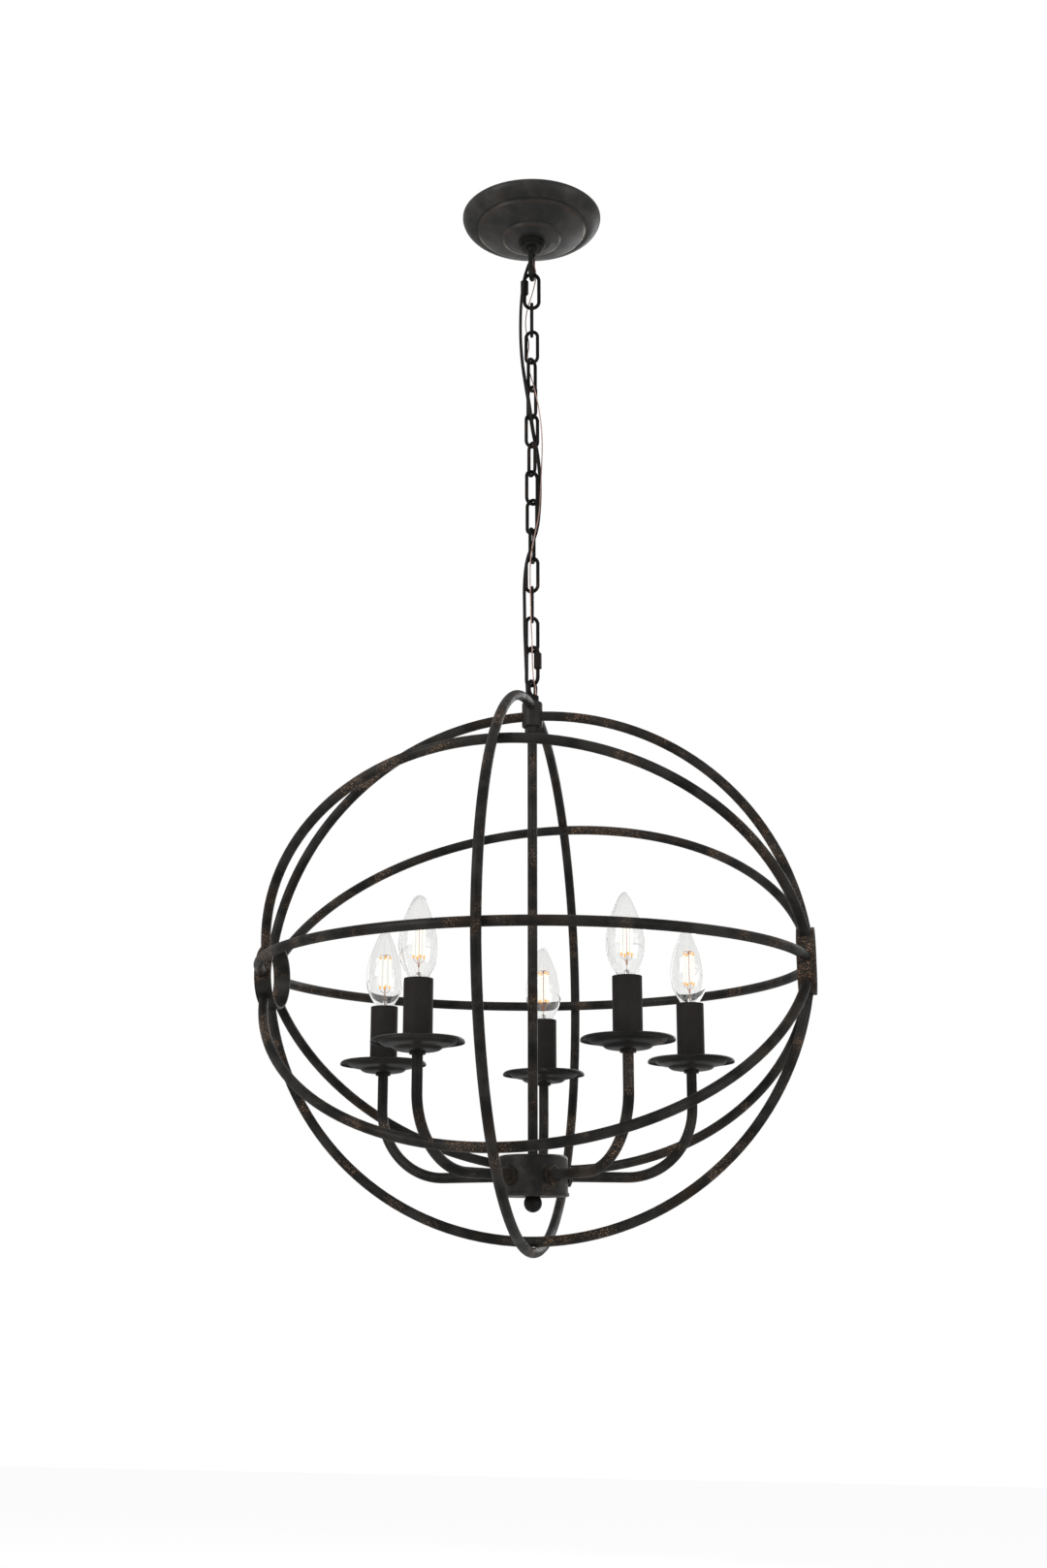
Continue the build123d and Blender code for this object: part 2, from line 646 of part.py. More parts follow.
inner_wall_r = sqrt((body_d / 2 - body_wall) ** 2 - (arm_nut_flats / sqrt(3)) ** 2)
nut_seats = (
    (body_d / 2 + weld_gap, arm_nut_height),
    (inner_wall_r - weld_gap - arm_inner_nut_height, arm_inner_nut_height),
)
with BuildPart() as arm_nuts:
    for angle in arm_angles:
        out = Vector(cos(radians(angle)), sin(radians(angle)), 0)
        for seat_r, height in nut_seats:
            seat = Plane(origin=out * seat_r + Vector(0, 0, arm_z), x_dir=(0, 0, 1), z_dir=out)
            with BuildSketch(seat):
                RegularPolygon(arm_nut_flats / 2, 6, major_radius=False)
                Circle(arm_d / 2 + thread_gap, mode=Mode.SUBTRACT)
            extrude(amount=height)
            outer_end = min(arm_nuts.faces(), key=lambda f: (f.center() - (seat.origin + out * height)).length)
            chamfer(outer_end.outer_wire().edges(), height / 6)
keep(arm_nuts, "arm_nuts")

with BuildPart() as saucer_collars:
    with BuildSketch(Plane.XY.offset(arm_top_z)):
        with PolarLocations(lamp_circle_r, arm_count, arm_first_angle):
            Circle(saucer_collar_d / 2)
            Circle(nipple_r + thread_gap, mode=Mode.SUBTRACT)
    extrude(amount=saucer_collar_height)
keep(saucer_collars, "saucer_collars")

with BuildPart() as arm_nipples:
    with BuildSketch(Plane.XY.offset(arm_top_z - nipple_reach)):
        with PolarLocations(lamp_circle_r, arm_count, arm_first_angle):
            Circle(nipple_r)
            Circle(nipple_r - arm_wall, mode=Mode.SUBTRACT)
    extrude(amount=saucer_floor_z - arm_top_z + 2 * nipple_reach)
keep(arm_nipples, "arm_nipples")


def saucer_face(inset: float) -> list:
    """Corner points of the saucer's lower skin, raised by inset for the upper one: radius and height."""
    crown_z = saucer_crown_z - saucer_wall
    cup_z = saucer_bottom_z + saucer_depth * saucer_cup_share
    return [
        (saucer_d / 2, crown_z - saucer_lip_drop + inset),
        (saucer_crown_d / 2, crown_z + inset),
        (saucer_bowl_d / 2, crown_z - saucer_bowl_drop + inset),
        (saucer_cup_d / 2 + 1.5 * saucer_wall, cup_z + inset * saucer_thinning),
        (saucer_cup_d / 2, cup_z - saucer_wall / 2 + inset * saucer_thinning),
        (saucer_floor_d / 2, saucer_bottom_z + inset),
    ]


def bulged(start: tuple, end: tuple, out: float) -> tuple:
    """The middle of an arc between two corners that swells outwards and down by out."""
    return (start[0] + end[0]) / 2 + out, (start[1] + end[1]) / 2 - out


with BuildPart() as saucers:
    for angle in arm_angles:
        x, y = lamp_point(angle)
        lower = saucer_face(0)
        upper = saucer_face(saucer_wall)
        rise = saucer_wall * saucer_thinning
        lip = ((lower[0][0] + lower[1][0]) / 2 + saucer_wall / 2, (lower[0][1] + lower[1][1]) / 2 + saucer_wall / 2)
        belly = bulged(lower[2], lower[3], saucer_wall)
        cup = bulged(lower[4], lower[5], saucer_wall * 0.75)
        with BuildSketch(upright_plane(angle, 0, x, y)):
            with BuildLine():
                ThreePointArc(lower[0], lip, lower[1])
                Line(lower[1], lower[2])
                ThreePointArc(lower[2], belly, lower[3])
                Line(lower[3], lower[4])
                ThreePointArc(lower[4], cup, lower[5])
                Polyline(
                    lower[5],
                    (nipple_r + thread_gap, saucer_bottom_z),
                    (nipple_r + thread_gap, saucer_floor_z),
                    upper[5],
                )
                ThreePointArc(upper[5], (cup[0], cup[1] + rise), upper[4])
                Line(upper[4], upper[3])
                ThreePointArc(upper[3], (belly[0], belly[1] + rise), upper[2])
                Line(upper[2], upper[1])
                ThreePointArc(upper[1], (lip[0], lip[1] + saucer_wall), upper[0])
                Line(upper[0], lower[0])
            make_face()
        revolve(axis=Axis((x, y, 0), (0, 0, 1)))
keep(saucers, "saucers")

with BuildPart() as candle_sleeves:
    with BuildSketch(Plane.XY.offset(saucer_floor_z)):
        with PolarLocations(lamp_circle_r, arm_count, arm_first_angle):
            Circle(sleeve_d / 2)
            Circle(sleeve_d / 2 - sleeve_wall, mode=Mode.SUBTRACT)
    extrude(amount=sleeve_length)
    rims = candle_sleeves.faces().filter_by(Axis.Z).group_by(Axis.Z)[-1]
    fillet(rims.edges(), sleeve_fillet)
keep(candle_sleeves, "candle_sleeves")

socket_bottom_z = socket_top_z - socket_height
cap_top_z = sleeve_top_z - bulb_neck_depth - running_gap
cap_bottom_z = cap_top_z - bulb_cap_length
contact_bottom_z = cap_bottom_z - bulb_contact_height
with BuildPart() as lamp_sockets:
    with BuildSketch(Plane.XY.offset(socket_bottom_z)):
        with PolarLocations(lamp_circle_r, arm_count, arm_first_angle):
            Circle(socket_d / 2)
    extrude(amount=socket_height)
    with BuildSketch(Plane.XY.offset(saucer_floor_z)):
        with PolarLocations(lamp_circle_r, arm_count, arm_first_angle):
            Circle(socket_stem_d / 2)
    extrude(amount=socket_bottom_z - saucer_floor_z)
    with BuildSketch(Plane.XY.offset(saucer_floor_z)):
        with PolarLocations(lamp_circle_r, arm_count, arm_first_angle):
            Circle(nipple_r + thread_gap)
    extrude(amount=nipple_reach + thread_gap, mode=Mode.SUBTRACT)
    with BuildSketch(Plane.XY.offset(contact_bottom_z - running_gap)):
        with PolarLocations(lamp_circle_r, arm_count, arm_first_angle):
            Circle(bulb_cap_d / 2 + bulb_cap_ridge + thread_gap)
    extrude(amount=socket_height, mode=Mode.SUBTRACT)
keep(lamp_sockets, "lamp_sockets")


def glass_points(inset: float) -> list:
    """The candle bulb's outline from its neck to its round tip, drawn in by inset: radius and height."""
    side = [
        (bulb_d / 2 * width - inset, bulb_height * height - inset * height**2)
        for width, height in bulb_outline
    ]
    tip_r = bulb_tip_r - inset
    tip = [
        (tip_r * cos(radians(turn)), bulb_height - bulb_tip_r + tip_r * sin(radians(turn)))
        for turn in (45, 67.5, 90)
    ]
    return [(bulb_neck_d / 2 - inset, -bulb_neck_depth), *side, *tip]


filament_low_z = sleeve_top_z + glass_stem_height
for number, angle in enumerate(arm_angles, 1):
    x, y = lamp_point(angle)
    with BuildPart() as bulb:
        # glass envelope
        with BuildSketch(upright_plane(angle, sleeve_top_z, x, y)):
            with BuildLine():
                outer, inner = glass_points(0), glass_points(bulb_wall)
                Spline(*outer[:-2], tangents=((0.25, 1), (-1, 1)))
                ThreePointArc(*outer[-3:])
                Line(outer[-1], inner[-1])
                ThreePointArc(*inner[:-4:-1])
                Spline(*inner[-3::-1], tangents=((1, -1), (-0.25, -1)))
                Line(inner[0], outer[0])
            make_face()
        revolve(axis=Axis((x, y, 0), (0, 0, 1)))
        # screw cap with its rolled ridges, and the contact under it
        with BuildSketch(upright_plane(angle, cap_bottom_z, x, y)):
            with BuildLine():
                ridge_pitch = bulb_cap_length * 0.75 / bulb_cap_ridges
                Polyline((0, 0), (bulb_cap_d / 2, 0), (bulb_cap_d / 2, ridge_pitch / 2))
                for k in range(bulb_cap_ridges):
                    low = (k + 0.5) * ridge_pitch
                    crest = (bulb_cap_d / 2 + bulb_cap_ridge, low + ridge_pitch / 2)
                    ThreePointArc((bulb_cap_d / 2, low), crest, (bulb_cap_d / 2, low + ridge_pitch))
                top_r = bulb_neck_d / 2 - bulb_wall
                Polyline(
                    (bulb_cap_d / 2, (bulb_cap_ridges + 0.5) * ridge_pitch),
                    (bulb_cap_d / 2, bulb_cap_length - bulb_wall),
                    (top_r, bulb_cap_length),
                    (0, bulb_cap_length),
                    (0, 0),
                )
            make_face()
        revolve(axis=Axis((x, y, 0), (0, 0, 1)))
        with BuildSketch(Plane.XY.offset(contact_bottom_z)):
            with Locations((x, y)):
                Circle(bulb_contact_d / 2)
        extrude(amount=bulb_contact_height)
        # glass stem that carries the filaments, and the filaments
        with BuildSketch(Plane.XY.offset(cap_top_z)):
            with Locations((x, y)):
                Circle(glass_stem_d / 2)
        extrude(amount=filament_low_z - cap_top_z)
        with BuildSketch(Plane.XY.offset(filament_low_z)):
            with Locations((x, y)):
                Circle(filament_circle_r + filament_d)
        extrude(amount=-filament_d)
        with BuildSketch(Plane.XY.offset(filament_low_z)):
            with Locations((x, y)):
                with PolarLocations(filament_circle_r, filament_count, 45):
                    Circle(filament_d / 2)
        extrude(amount=filament_length)
    keep(bulb, f"bulb_{number}")
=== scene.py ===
"""Orb chandelier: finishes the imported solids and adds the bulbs, lamp pans and cords.

Metres, +Z up, the origin in the ceiling plane. Each class below is one sub-assembly of the light.
"""

import json
import logging
import math
from dataclasses import dataclass
from enum import Enum
from typing import Any

import bmesh
import bpy
from mathutils import Matrix, Vector

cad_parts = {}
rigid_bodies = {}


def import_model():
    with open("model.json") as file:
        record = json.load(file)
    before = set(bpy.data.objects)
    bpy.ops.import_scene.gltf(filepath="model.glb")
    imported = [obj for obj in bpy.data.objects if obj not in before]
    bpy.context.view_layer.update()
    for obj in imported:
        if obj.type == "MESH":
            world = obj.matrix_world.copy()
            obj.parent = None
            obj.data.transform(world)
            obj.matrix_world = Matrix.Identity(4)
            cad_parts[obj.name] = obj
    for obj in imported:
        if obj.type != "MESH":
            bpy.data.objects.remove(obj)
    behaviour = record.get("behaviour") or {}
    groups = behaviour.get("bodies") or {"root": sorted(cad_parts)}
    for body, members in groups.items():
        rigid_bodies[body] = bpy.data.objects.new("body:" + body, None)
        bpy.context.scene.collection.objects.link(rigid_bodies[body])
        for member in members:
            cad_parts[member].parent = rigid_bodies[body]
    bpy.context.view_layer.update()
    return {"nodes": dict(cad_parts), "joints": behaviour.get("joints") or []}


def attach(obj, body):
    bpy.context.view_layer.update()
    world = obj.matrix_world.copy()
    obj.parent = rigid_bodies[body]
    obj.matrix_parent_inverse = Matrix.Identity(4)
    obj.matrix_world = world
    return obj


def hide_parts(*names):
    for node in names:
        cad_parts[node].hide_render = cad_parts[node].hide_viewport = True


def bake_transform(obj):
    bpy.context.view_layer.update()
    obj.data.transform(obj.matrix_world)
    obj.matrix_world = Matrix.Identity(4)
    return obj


LOG = logging.getLogger("orb_chandelier")
MM = 0.001
FRAME_HEIGHT_PX = 1618


class Way(Enum):
    """The direction that a bulb's short wires take from a filament's end."""

    UP = 1
    DOWN = -1


# ------------------------------------------------------------------ colour and node helpers
def linear(code: str) -> tuple[float, float, float, float]:
    """Turn an sRGB hex colour into linear light.

    Args:
        code: six hex digits after a hash sign.

    Returns:
        Linear red, green, blue and an alpha of 1.
    """
    parts = [int(code[k : k + 2], 16) / 255 for k in (1, 3, 5)]
    light = [c / 12.92 if c <= 0.04045 else ((c + 0.055) / 1.055) ** 2.4 for c in parts]
    return (*light, 1.0)


def add(
    tree: bpy.types.NodeTree, kind: str, inputs: dict | None = None, **settings: Any
) -> bpy.types.Node:
    """Add one node.

    Args:
        tree: the tree that it goes into.
        kind: the node's type.
        inputs: socket name or index to a value, or to the output socket that feeds it.
        settings: the node's own properties.

    Returns:
        The new node.
    """
    node = tree.nodes.new(kind)
    for name, value in settings.items():
        setattr(node, name, value)
    for key, value in (inputs or {}).items():
        if isinstance(value, bpy.types.NodeSocket):
            tree.links.new(value, node.inputs[key])
        else:
            node.inputs[key].default_value = value
    return node


def mixed(tree: bpy.types.NodeTree, share: Any, first: Any, second: Any) -> bpy.types.NodeSocket:
    """Mix two colours by a share that varies over the surface, and return the colour socket."""
    node = add(tree, "ShaderNodeMix", {0: share, 6: first, 7: second}, data_type="RGBA")
    return node.outputs[2]


def stepped(tree: bpy.types.NodeTree, value: Any, low: float, high: float) -> bpy.types.NodeSocket:
    """A smooth step from 0 at low to 1 at high, and return its socket."""
    node = add(
        tree,
        "ShaderNodeMapRange",
        {"Value": value, "From Min": low, "From Max": high},
        interpolation_type="SMOOTHSTEP",
    )
    return node.outputs["Result"]


def product(tree: bpy.types.NodeTree, first: Any, second: Any) -> bpy.types.NodeSocket:
    """Multiply two values and return the socket."""
    return add(tree, "ShaderNodeMath", {0: first, 1: second}, operation="MULTIPLY").outputs[0]


def grain(
    tree: bpy.types.NodeTree, where: Any, size_mm: float, detail: float = 3.0
) -> bpy.types.NodeSocket:
    """Noise whose blotches are about size_mm across, in Object coordinates."""
    node = add(
        tree,
        "ShaderNodeTexNoise",
        {"Vector": where, "Scale": 1 / (size_mm * MM), "Detail": detail, "Roughness": 0.6},
    )
    return node.outputs["Fac"]


# ------------------------------------------------------------------ finishes
@dataclass(frozen=True)
class Finish:
    """A surface: what it is made of, and how it was finished."""

    name: str
    slot: str

    def material(self) -> bpy.types.Material:
        """Return this finish's material, made once."""
        known = bpy.data.materials.get(self.name)
        if known is not None:
            return known
        made = bpy.data.materials.new(self.name)
        made.use_nodes = True
        tree = made.node_tree
        tree.nodes.clear()
        where = add(tree, "ShaderNodeTexCoord").outputs["Object"]
        shader = self.shader(tree, where)
        add(tree, "ShaderNodeOutputMaterial", {"Surface": shader})
        return made

    def shader(self, tree: bpy.types.NodeTree, where: bpy.types.NodeSocket) -> bpy.types.NodeSocket:
        """Build the surface from Object coordinates, and return the shader's socket."""
        raise NotImplementedError


@dataclass(frozen=True)
class RubbedBronze(Finish):
    """Steel with a sprayed dark brown enamel, rubbed through in specks to a copper undercoat.

    To the eye it is near black with a soft satin sheen, a haze of warmer brown, and pinhead copper specks
    that gather where the rag rubbed. A higher `rubbed` leaves less of both.
    """

    dark: str = "#1b1b1a"
    light: str = "#353330"
    brown: str = "#42301f"
    copper: str = "#a8866c"
    cloud_mm: float = 30.0
    brown_mm: float = 55.0
    speck_mm: float = 1.2
    patch_mm: float = 46.0
    tooth_mm: float = 0.9
    rubbed: float = 0.58
    roughness: float = 0.44

    def shader(self, tree: bpy.types.NodeTree, where: bpy.types.NodeSocket) -> bpy.types.NodeSocket:
        """Clouds, brown haze, rubbed specks, satin roughness and the enamel's fine tooth."""
        clouds = stepped(tree, grain(tree, where, self.cloud_mm), 0.35, 0.68)
        base = mixed(tree, clouds, linear(self.dark), linear(self.light))
        patch = grain(tree, where, self.patch_mm, 3.0)
        patches = stepped(tree, patch, self.rubbed - 0.06, self.rubbed + 0.08)
        specks = stepped(tree, grain(tree, where, self.speck_mm, 2.0), 0.5, 0.68)
        worn = product(tree, product(tree, patches, specks), 0.8)
        blotch = grain(tree, where, self.brown_mm, 4.0)
        haze = stepped(tree, blotch, self.rubbed - 0.08, self.rubbed + 0.14)
        base = mixed(tree, product(tree, haze, 0.4), base, linear(self.brown))
        colour = mixed(tree, worn, base, linear(self.copper))
        tooth = grain(tree, where, self.tooth_mm, 2.0)
        gloss = add(
            tree,
            "ShaderNodeMapRange",
            {"Value": clouds, "To Min": self.roughness + 0.06, "To Max": self.roughness - 0.06},
        )
        bump = add(tree, "ShaderNodeBump", {"Strength": 0.12, "Distance": 0.05 * MM, "Height": tooth})
        return add(
            tree,
            "ShaderNodeBsdfPrincipled",
            {
                "Base Color": colour,
                "Roughness": gloss.outputs["Result"],
                "Normal": bump.outputs["Normal"],
                "Specular IOR Level": 0.12,
            },
        ).outputs[0]


@dataclass(frozen=True)
class CanopyBronze(Finish):
    """The same enamel on spun steel, with a pale highlight painted along each turned edge.

    The spinning leaves very fine rings. The painted edge highlight is beige and strongest on the far side
    (+Y), and dimmer and copper-coloured on the near one.
    """

    dark: str = "#2b2a29"
    light: str = "#444240"
    # edge: the colour of the painted highlight along the turned edges
    edge: str = "#aca394"
    # copper: rubbed copper patches, and also the painted edge highlight on the near side
    copper: str = "#4d382b"
    edge_radii_mm: tuple[float, ...] = (53.6, 28.3)
    edge_width_mm: float = 1.4
    ring_pitch_mm: float = 0.8

    def shader(self, tree: bpy.types.NodeTree, where: bpy.types.NodeSocket) -> bpy.types.NodeSocket:
        """Clouds, painted highlights along the edges at their radii, and fine spun rings."""
        flat = add(tree, "ShaderNodeVectorMath", {0: where, 1: (1, 1, 0)}, operation="MULTIPLY")
        length = add(tree, "ShaderNodeVectorMath", {0: flat.outputs[0]}, operation="LENGTH")
        radius = length.outputs["Value"]
        across = add(tree, "ShaderNodeSeparateXYZ", {0: where}).outputs["Y"]
        # 1 on the far side (+Y), where the painted edge highlight is beige and strongest
        highlit_side = stepped(tree, across, -10 * MM, 12 * MM)
        clouds = stepped(tree, grain(tree, where, 38.0), 0.35, 0.66)
        colour = mixed(tree, clouds, linear(self.dark), linear(self.light))
        rag = stepped(tree, grain(tree, where, 22.0, 3.0), 0.54, 0.74)
        colour = mixed(tree, product(tree, rag, 0.3), colour, linear(self.copper))
        # colour of the painted edge highlight: copper on the near side, beige on the far side; its strength
        # is set by side
        worn = mixed(tree, highlit_side, linear(self.copper), linear(self.edge))
        highlight_by_side = add(tree, "ShaderNodeMapRange", {"Value": highlit_side, "To Min": 0.45, "To Max": 1.0})
        highlight_share = highlight_by_side.outputs["Result"]
        # paint a highlight line along each turned edge, broken up by noise
        for edge_mm in self.edge_radii_mm:
            off = add(tree, "ShaderNodeMath", {0: radius, 1: edge_mm * MM}, operation="SUBTRACT").outputs[0]
            off = add(tree, "ShaderNodeMath", {0: off}, operation="ABSOLUTE").outputs[0]
            line = stepped(tree, off, self.edge_width_mm * MM, 0.1 * self.edge_width_mm * MM)
            broken = stepped(tree, grain(tree, where, 18.0, 3.0), 0.34, 0.56)
            colour = mixed(tree, product(tree, product(tree, line, broken), highlight_share), colour, worn)
        per_metre = 2 * math.pi / (self.ring_pitch_mm * MM)
        rings = add(tree, "ShaderNodeMath", {0: radius, 1: per_metre}, operation="MULTIPLY")
        wave = add(tree, "ShaderNodeMath", {0: rings.outputs[0]}, operation="SINE").outputs[0]
        bump = add(tree, "ShaderNodeBump", {"Strength": 0.12, "Distance": 0.02 * MM, "Height": wave})
        gloss = add(tree, "ShaderNodeMapRange", {"Value": clouds, "To Min": 0.42, "To Max": 0.34})
        return add(
            tree,
            "ShaderNodeBsdfPrincipled",
            {
                "Base Color": colour,
                "Roughness": gloss.outputs["Result"],
                "Normal": bump.outputs["Normal"],
                "Specular IOR Level": 0.22,
            },
        ).outputs[0]


@dataclass(frozen=True)
class SatinPlastic(Finish):
    """Moulded or drawn plastic: an even dark skin with a faint grain and a few dust specks."""

    base: str = "#272422"
    worn: str = "#363230"
    fleck: str = "#4a3a30"
    roughness: float = 0.62
    grain_mm: float = 0.8
    fleck_share: float = 0.35

    def shader(self, tree: bpy.types.NodeTree, where: bpy.types.NodeSocket) -> bpy.types.NodeSocket:
        """Even colour, fine rings left by drawing, and flecks."""
        squeezed = add(
            tree,
            "ShaderNodeMapping",
            {"Vector": where, "Scale": (0.25, 0.25, 1.6)},
        ).outputs["Vector"]
        rings = grain(tree, squeezed, self.grain_mm, 2.0)
        flecks = stepped(tree, grain(tree, where, 1.1, 1.0), 0.66, 0.76)
        shade = stepped(tree, grain(tree, where, 30.0), 0.3, 0.7)
        deep = mixed(tree, product(tree, shade, 0.5), linear(self.base), linear(self.worn))
        colour = mixed(tree, product(tree, flecks, self.fleck_share), deep, linear(self.fleck))
        bump = add(tree, "ShaderNodeBump", {"Strength": 0.3, "Distance": 0.04 * MM, "Height": rings})
        return add(
            tree,
            "ShaderNodeBsdfPrincipled",
            {
                "Base Color": colour,
                "Roughness": self.roughness,
                "Normal": bump.outputs["Normal"],
                "Specular IOR Level": 0.14,
            },
        ).outputs[0]


@dataclass(frozen=True)
class PlatedMetal(Finish):
    """Bare or plated metal: bright, with the fine streaks of its making and a soft uneven shine."""

    base: str = "#b9b7b2"
    stain: str = "#8d8a84"
    roughness: float = 0.34
    streak_mm: float = 0.5

    def shader(self, tree: bpy.types.NodeTree, where: bpy.types.NodeSocket) -> bpy.types.NodeSocket:
        """Metal with a stain, and streaks in its bump."""
        stain = stepped(tree, grain(tree, where, 9.0), 0.4, 0.7)
        colour = mixed(tree, stain, linear(self.base), linear(self.stain))
        streaks = grain(tree, where, self.streak_mm, 2.0)
        bump = add(tree, "ShaderNodeBump", {"Strength": 0.2, "Distance": 0.03 * MM, "Height": streaks})
        return add(
            tree,
            "ShaderNodeBsdfPrincipled",
            {
                "Base Color": colour,
                "Metallic": 1.0,
                "Roughness": self.roughness,
                "Normal": bump.outputs["Normal"],
            },
        ).outputs[0]


@dataclass(frozen=True)
class BlownGlass(Finish):
    """Clear soda-lime glass, blown thin: colourless across its wall, and grey where seen along it."""

    tint: str = "#fdfdfc"
    body: str = "#73787a"
    depth_mm: float = 6.6

    def material(self) -> bpy.types.Material:
        """Return the glass, with the grey that its thickness adds, made once."""
        made = super().material()
        tree = made.node_tree
        if not any(node.type == "VOLUME_ABSORPTION" for node in tree.nodes):
            body = add(
                tree,
                "ShaderNodeVolumeAbsorption",
                {"Color": linear(self.body), "Density": 1 / (self.depth_mm * MM)},
            )
            out = next(node for node in tree.nodes if node.type == "OUTPUT_MATERIAL")
            tree.links.new(body.outputs[0], out.inputs["Volume"])
        return made

    def shader(self, tree: bpy.types.NodeTree, where: bpy.types.NodeSocket) -> bpy.types.NodeSocket:
        """Fire-polished glass, quite smooth."""
        return add(
            tree,
            "ShaderNodeBsdfPrincipled",
            {
                "Base Color": linear(self.tint),
                "Roughness": 0.0,
                "IOR": 1.5,
                "Transmission Weight": 1.0,
            },
        ).outputs[0]


@dataclass(frozen=True)
class LitFilament(Finish):
    """A strip of diodes under a yellow phosphor resin: pale cream where lit, orange at its bare ends."""

    low_z: float = 0.0
    high_z: float = 1.0
    end_length: float = 3.0 * MM
    lit: str = "#fff9ea"
    bead: str = "#ffe2a3"
    end: str = "#f0a830"
    glow: float = 0.8

    def shader(self, tree: bpy.types.NodeTree, where: bpy.types.NodeSocket) -> bpy.types.NodeSocket:
        """Cream along the strip, and orange at both ends, by height."""
        height = add(tree, "ShaderNodeSeparateXYZ", {0: where}).outputs["Z"]
        low = stepped(tree, height, self.low_z + self.end_length, self.low_z + 0.7 * self.end_length)
        high = stepped(tree, height, self.high_z - self.end_length, self.high_z - 0.7 * self.end_length)
        ends = add(tree, "ShaderNodeMath", {0: low, 1: high}, operation="MAXIMUM").outputs[0]
        beads = stepped(tree, grain(tree, where, 0.9, 1.0), 0.4, 0.6)
        lit = mixed(tree, product(tree, beads, 0.25), linear(self.lit), linear(self.bead))
        colour = mixed(tree, ends, lit, linear(self.end))
        return add(
            tree,
            "ShaderNodeBsdfPrincipled",
            {
                "Base Color": colour,
                "Roughness": 0.5,
                "Emission Color": colour,
                "Emission Strength": self.glow,
            },
        ).outputs[0]


# ------------------------------------------------------------------ mesh helpers
def new_object(name: str, mesh: bpy.types.Mesh, finish: Finish) -> bpy.types.Object:
    """Put a finished mesh into the scene with its finish.

    Args:
        name: the piece's name.
        mesh: its mesh, in place.
        finish: what it is made of.

    Returns:
        The object, at the origin.
    """
    mesh.materials.clear()
    mesh.materials.append(finish.material())
    mesh.name = name
    piece = bpy.data.objects.new(name, mesh)
    bpy.context.scene.collection.objects.link(piece)
    LOG.info("%s: %d faces, %s", name, len(mesh.polygons), finish.name)
    return piece


def smooth(mesh: bpy.types.Mesh, sharp_degrees: float = 40.0) -> None:
    """Shade a mesh smooth, with its edges past an angle kept sharp."""
    mesh.shade_smooth()
    work = bmesh.new()
    work.from_mesh(mesh)
    for edge in work.edges:
        if len(edge.link_faces) == 2 and edge.calc_face_angle(0.0) > math.radians(sharp_degrees):
            edge.smooth = False
    work.to_mesh(mesh)
    work.free()


def turned(profile: list[tuple[float, float]], centre: Vector, steps: int = 64) -> bpy.types.Mesh:
    """Turn a closed profile about a vertical axis.

    Args:
        profile: radius and height of each corner, in metres; a radius of 0 lies on the axis.
        centre: the axis's foot.
        steps: how many faces go round.

    Returns:
        A closed mesh whose faces point outwards.
    """
    work = bmesh.new()
    rings = []
    for radius, height in profile:
        if radius <= 1e-7:
            rings.append([work.verts.new(centre + Vector((0, 0, height)))])
            continue
        angles = [2 * math.pi * k / steps for k in range(steps)]
        rings.append([
            work.verts.new(centre + Vector((radius * math.cos(a), radius * math.sin(a), height)))
            for a in angles
        ])
    for first, second in zip(rings, rings[1:] + rings[:1]):
        for k in range(steps):
            corners = []
            for vert in (
                first[k % len(first)],
                first[(k + 1) % len(first)],
                second[(k + 1) % len(second)],
                second[k % len(second)],
            ):
                if vert not in corners:
                    corners.append(vert)
            if len(corners) > 2:
                work.faces.new(corners)
    bmesh.ops.recalc_face_normals(work, faces=work.faces)
    mesh = bpy.data.meshes.new("turned")
    work.to_mesh(mesh)
    work.free()
    smooth(mesh)
    return mesh


def rounded(points: list[tuple[float, float]], per_span: int = 6) -> list[tuple[float, float]]:
    """Pass a smooth open curve through the points.

    Args:
        points: radius and height of each point.
        per_span: how many steps go between two of them.

    Returns:
        The curve's points.
    """
    spots = [Vector(p) for p in points]
    ends = [2 * spots[0] - spots[1], *spots, 2 * spots[-1] - spots[-2]]
    curve = []
    for a, b, c, d in zip(ends, ends[1:], ends[2:], ends[3:]):
        for k in range(per_span):
            t = k / per_span
            square, cube = 2 * a - 5 * b + 4 * c - d, 3 * b - a - 3 * c + d
            p = 0.5 * (2 * b + (c - a) * t + square * t**2 + cube * t**3)
            curve.append((max(p.x, 0.0), p.y))
    curve.append(tuple(spots[-1]))
    return curve


def polyline(points: list[Vector], links: list[tuple[int, int]]) -> bpy.types.Object:
    """A mesh of points and the edges between them, for a tree to follow."""
    mesh = bpy.data.meshes.new("path")
    mesh.from_pydata([tuple(p) for p in points], links, [])
    path = bpy.data.objects.new("path", mesh)
    bpy.context.scene.collection.objects.link(path)
    return path


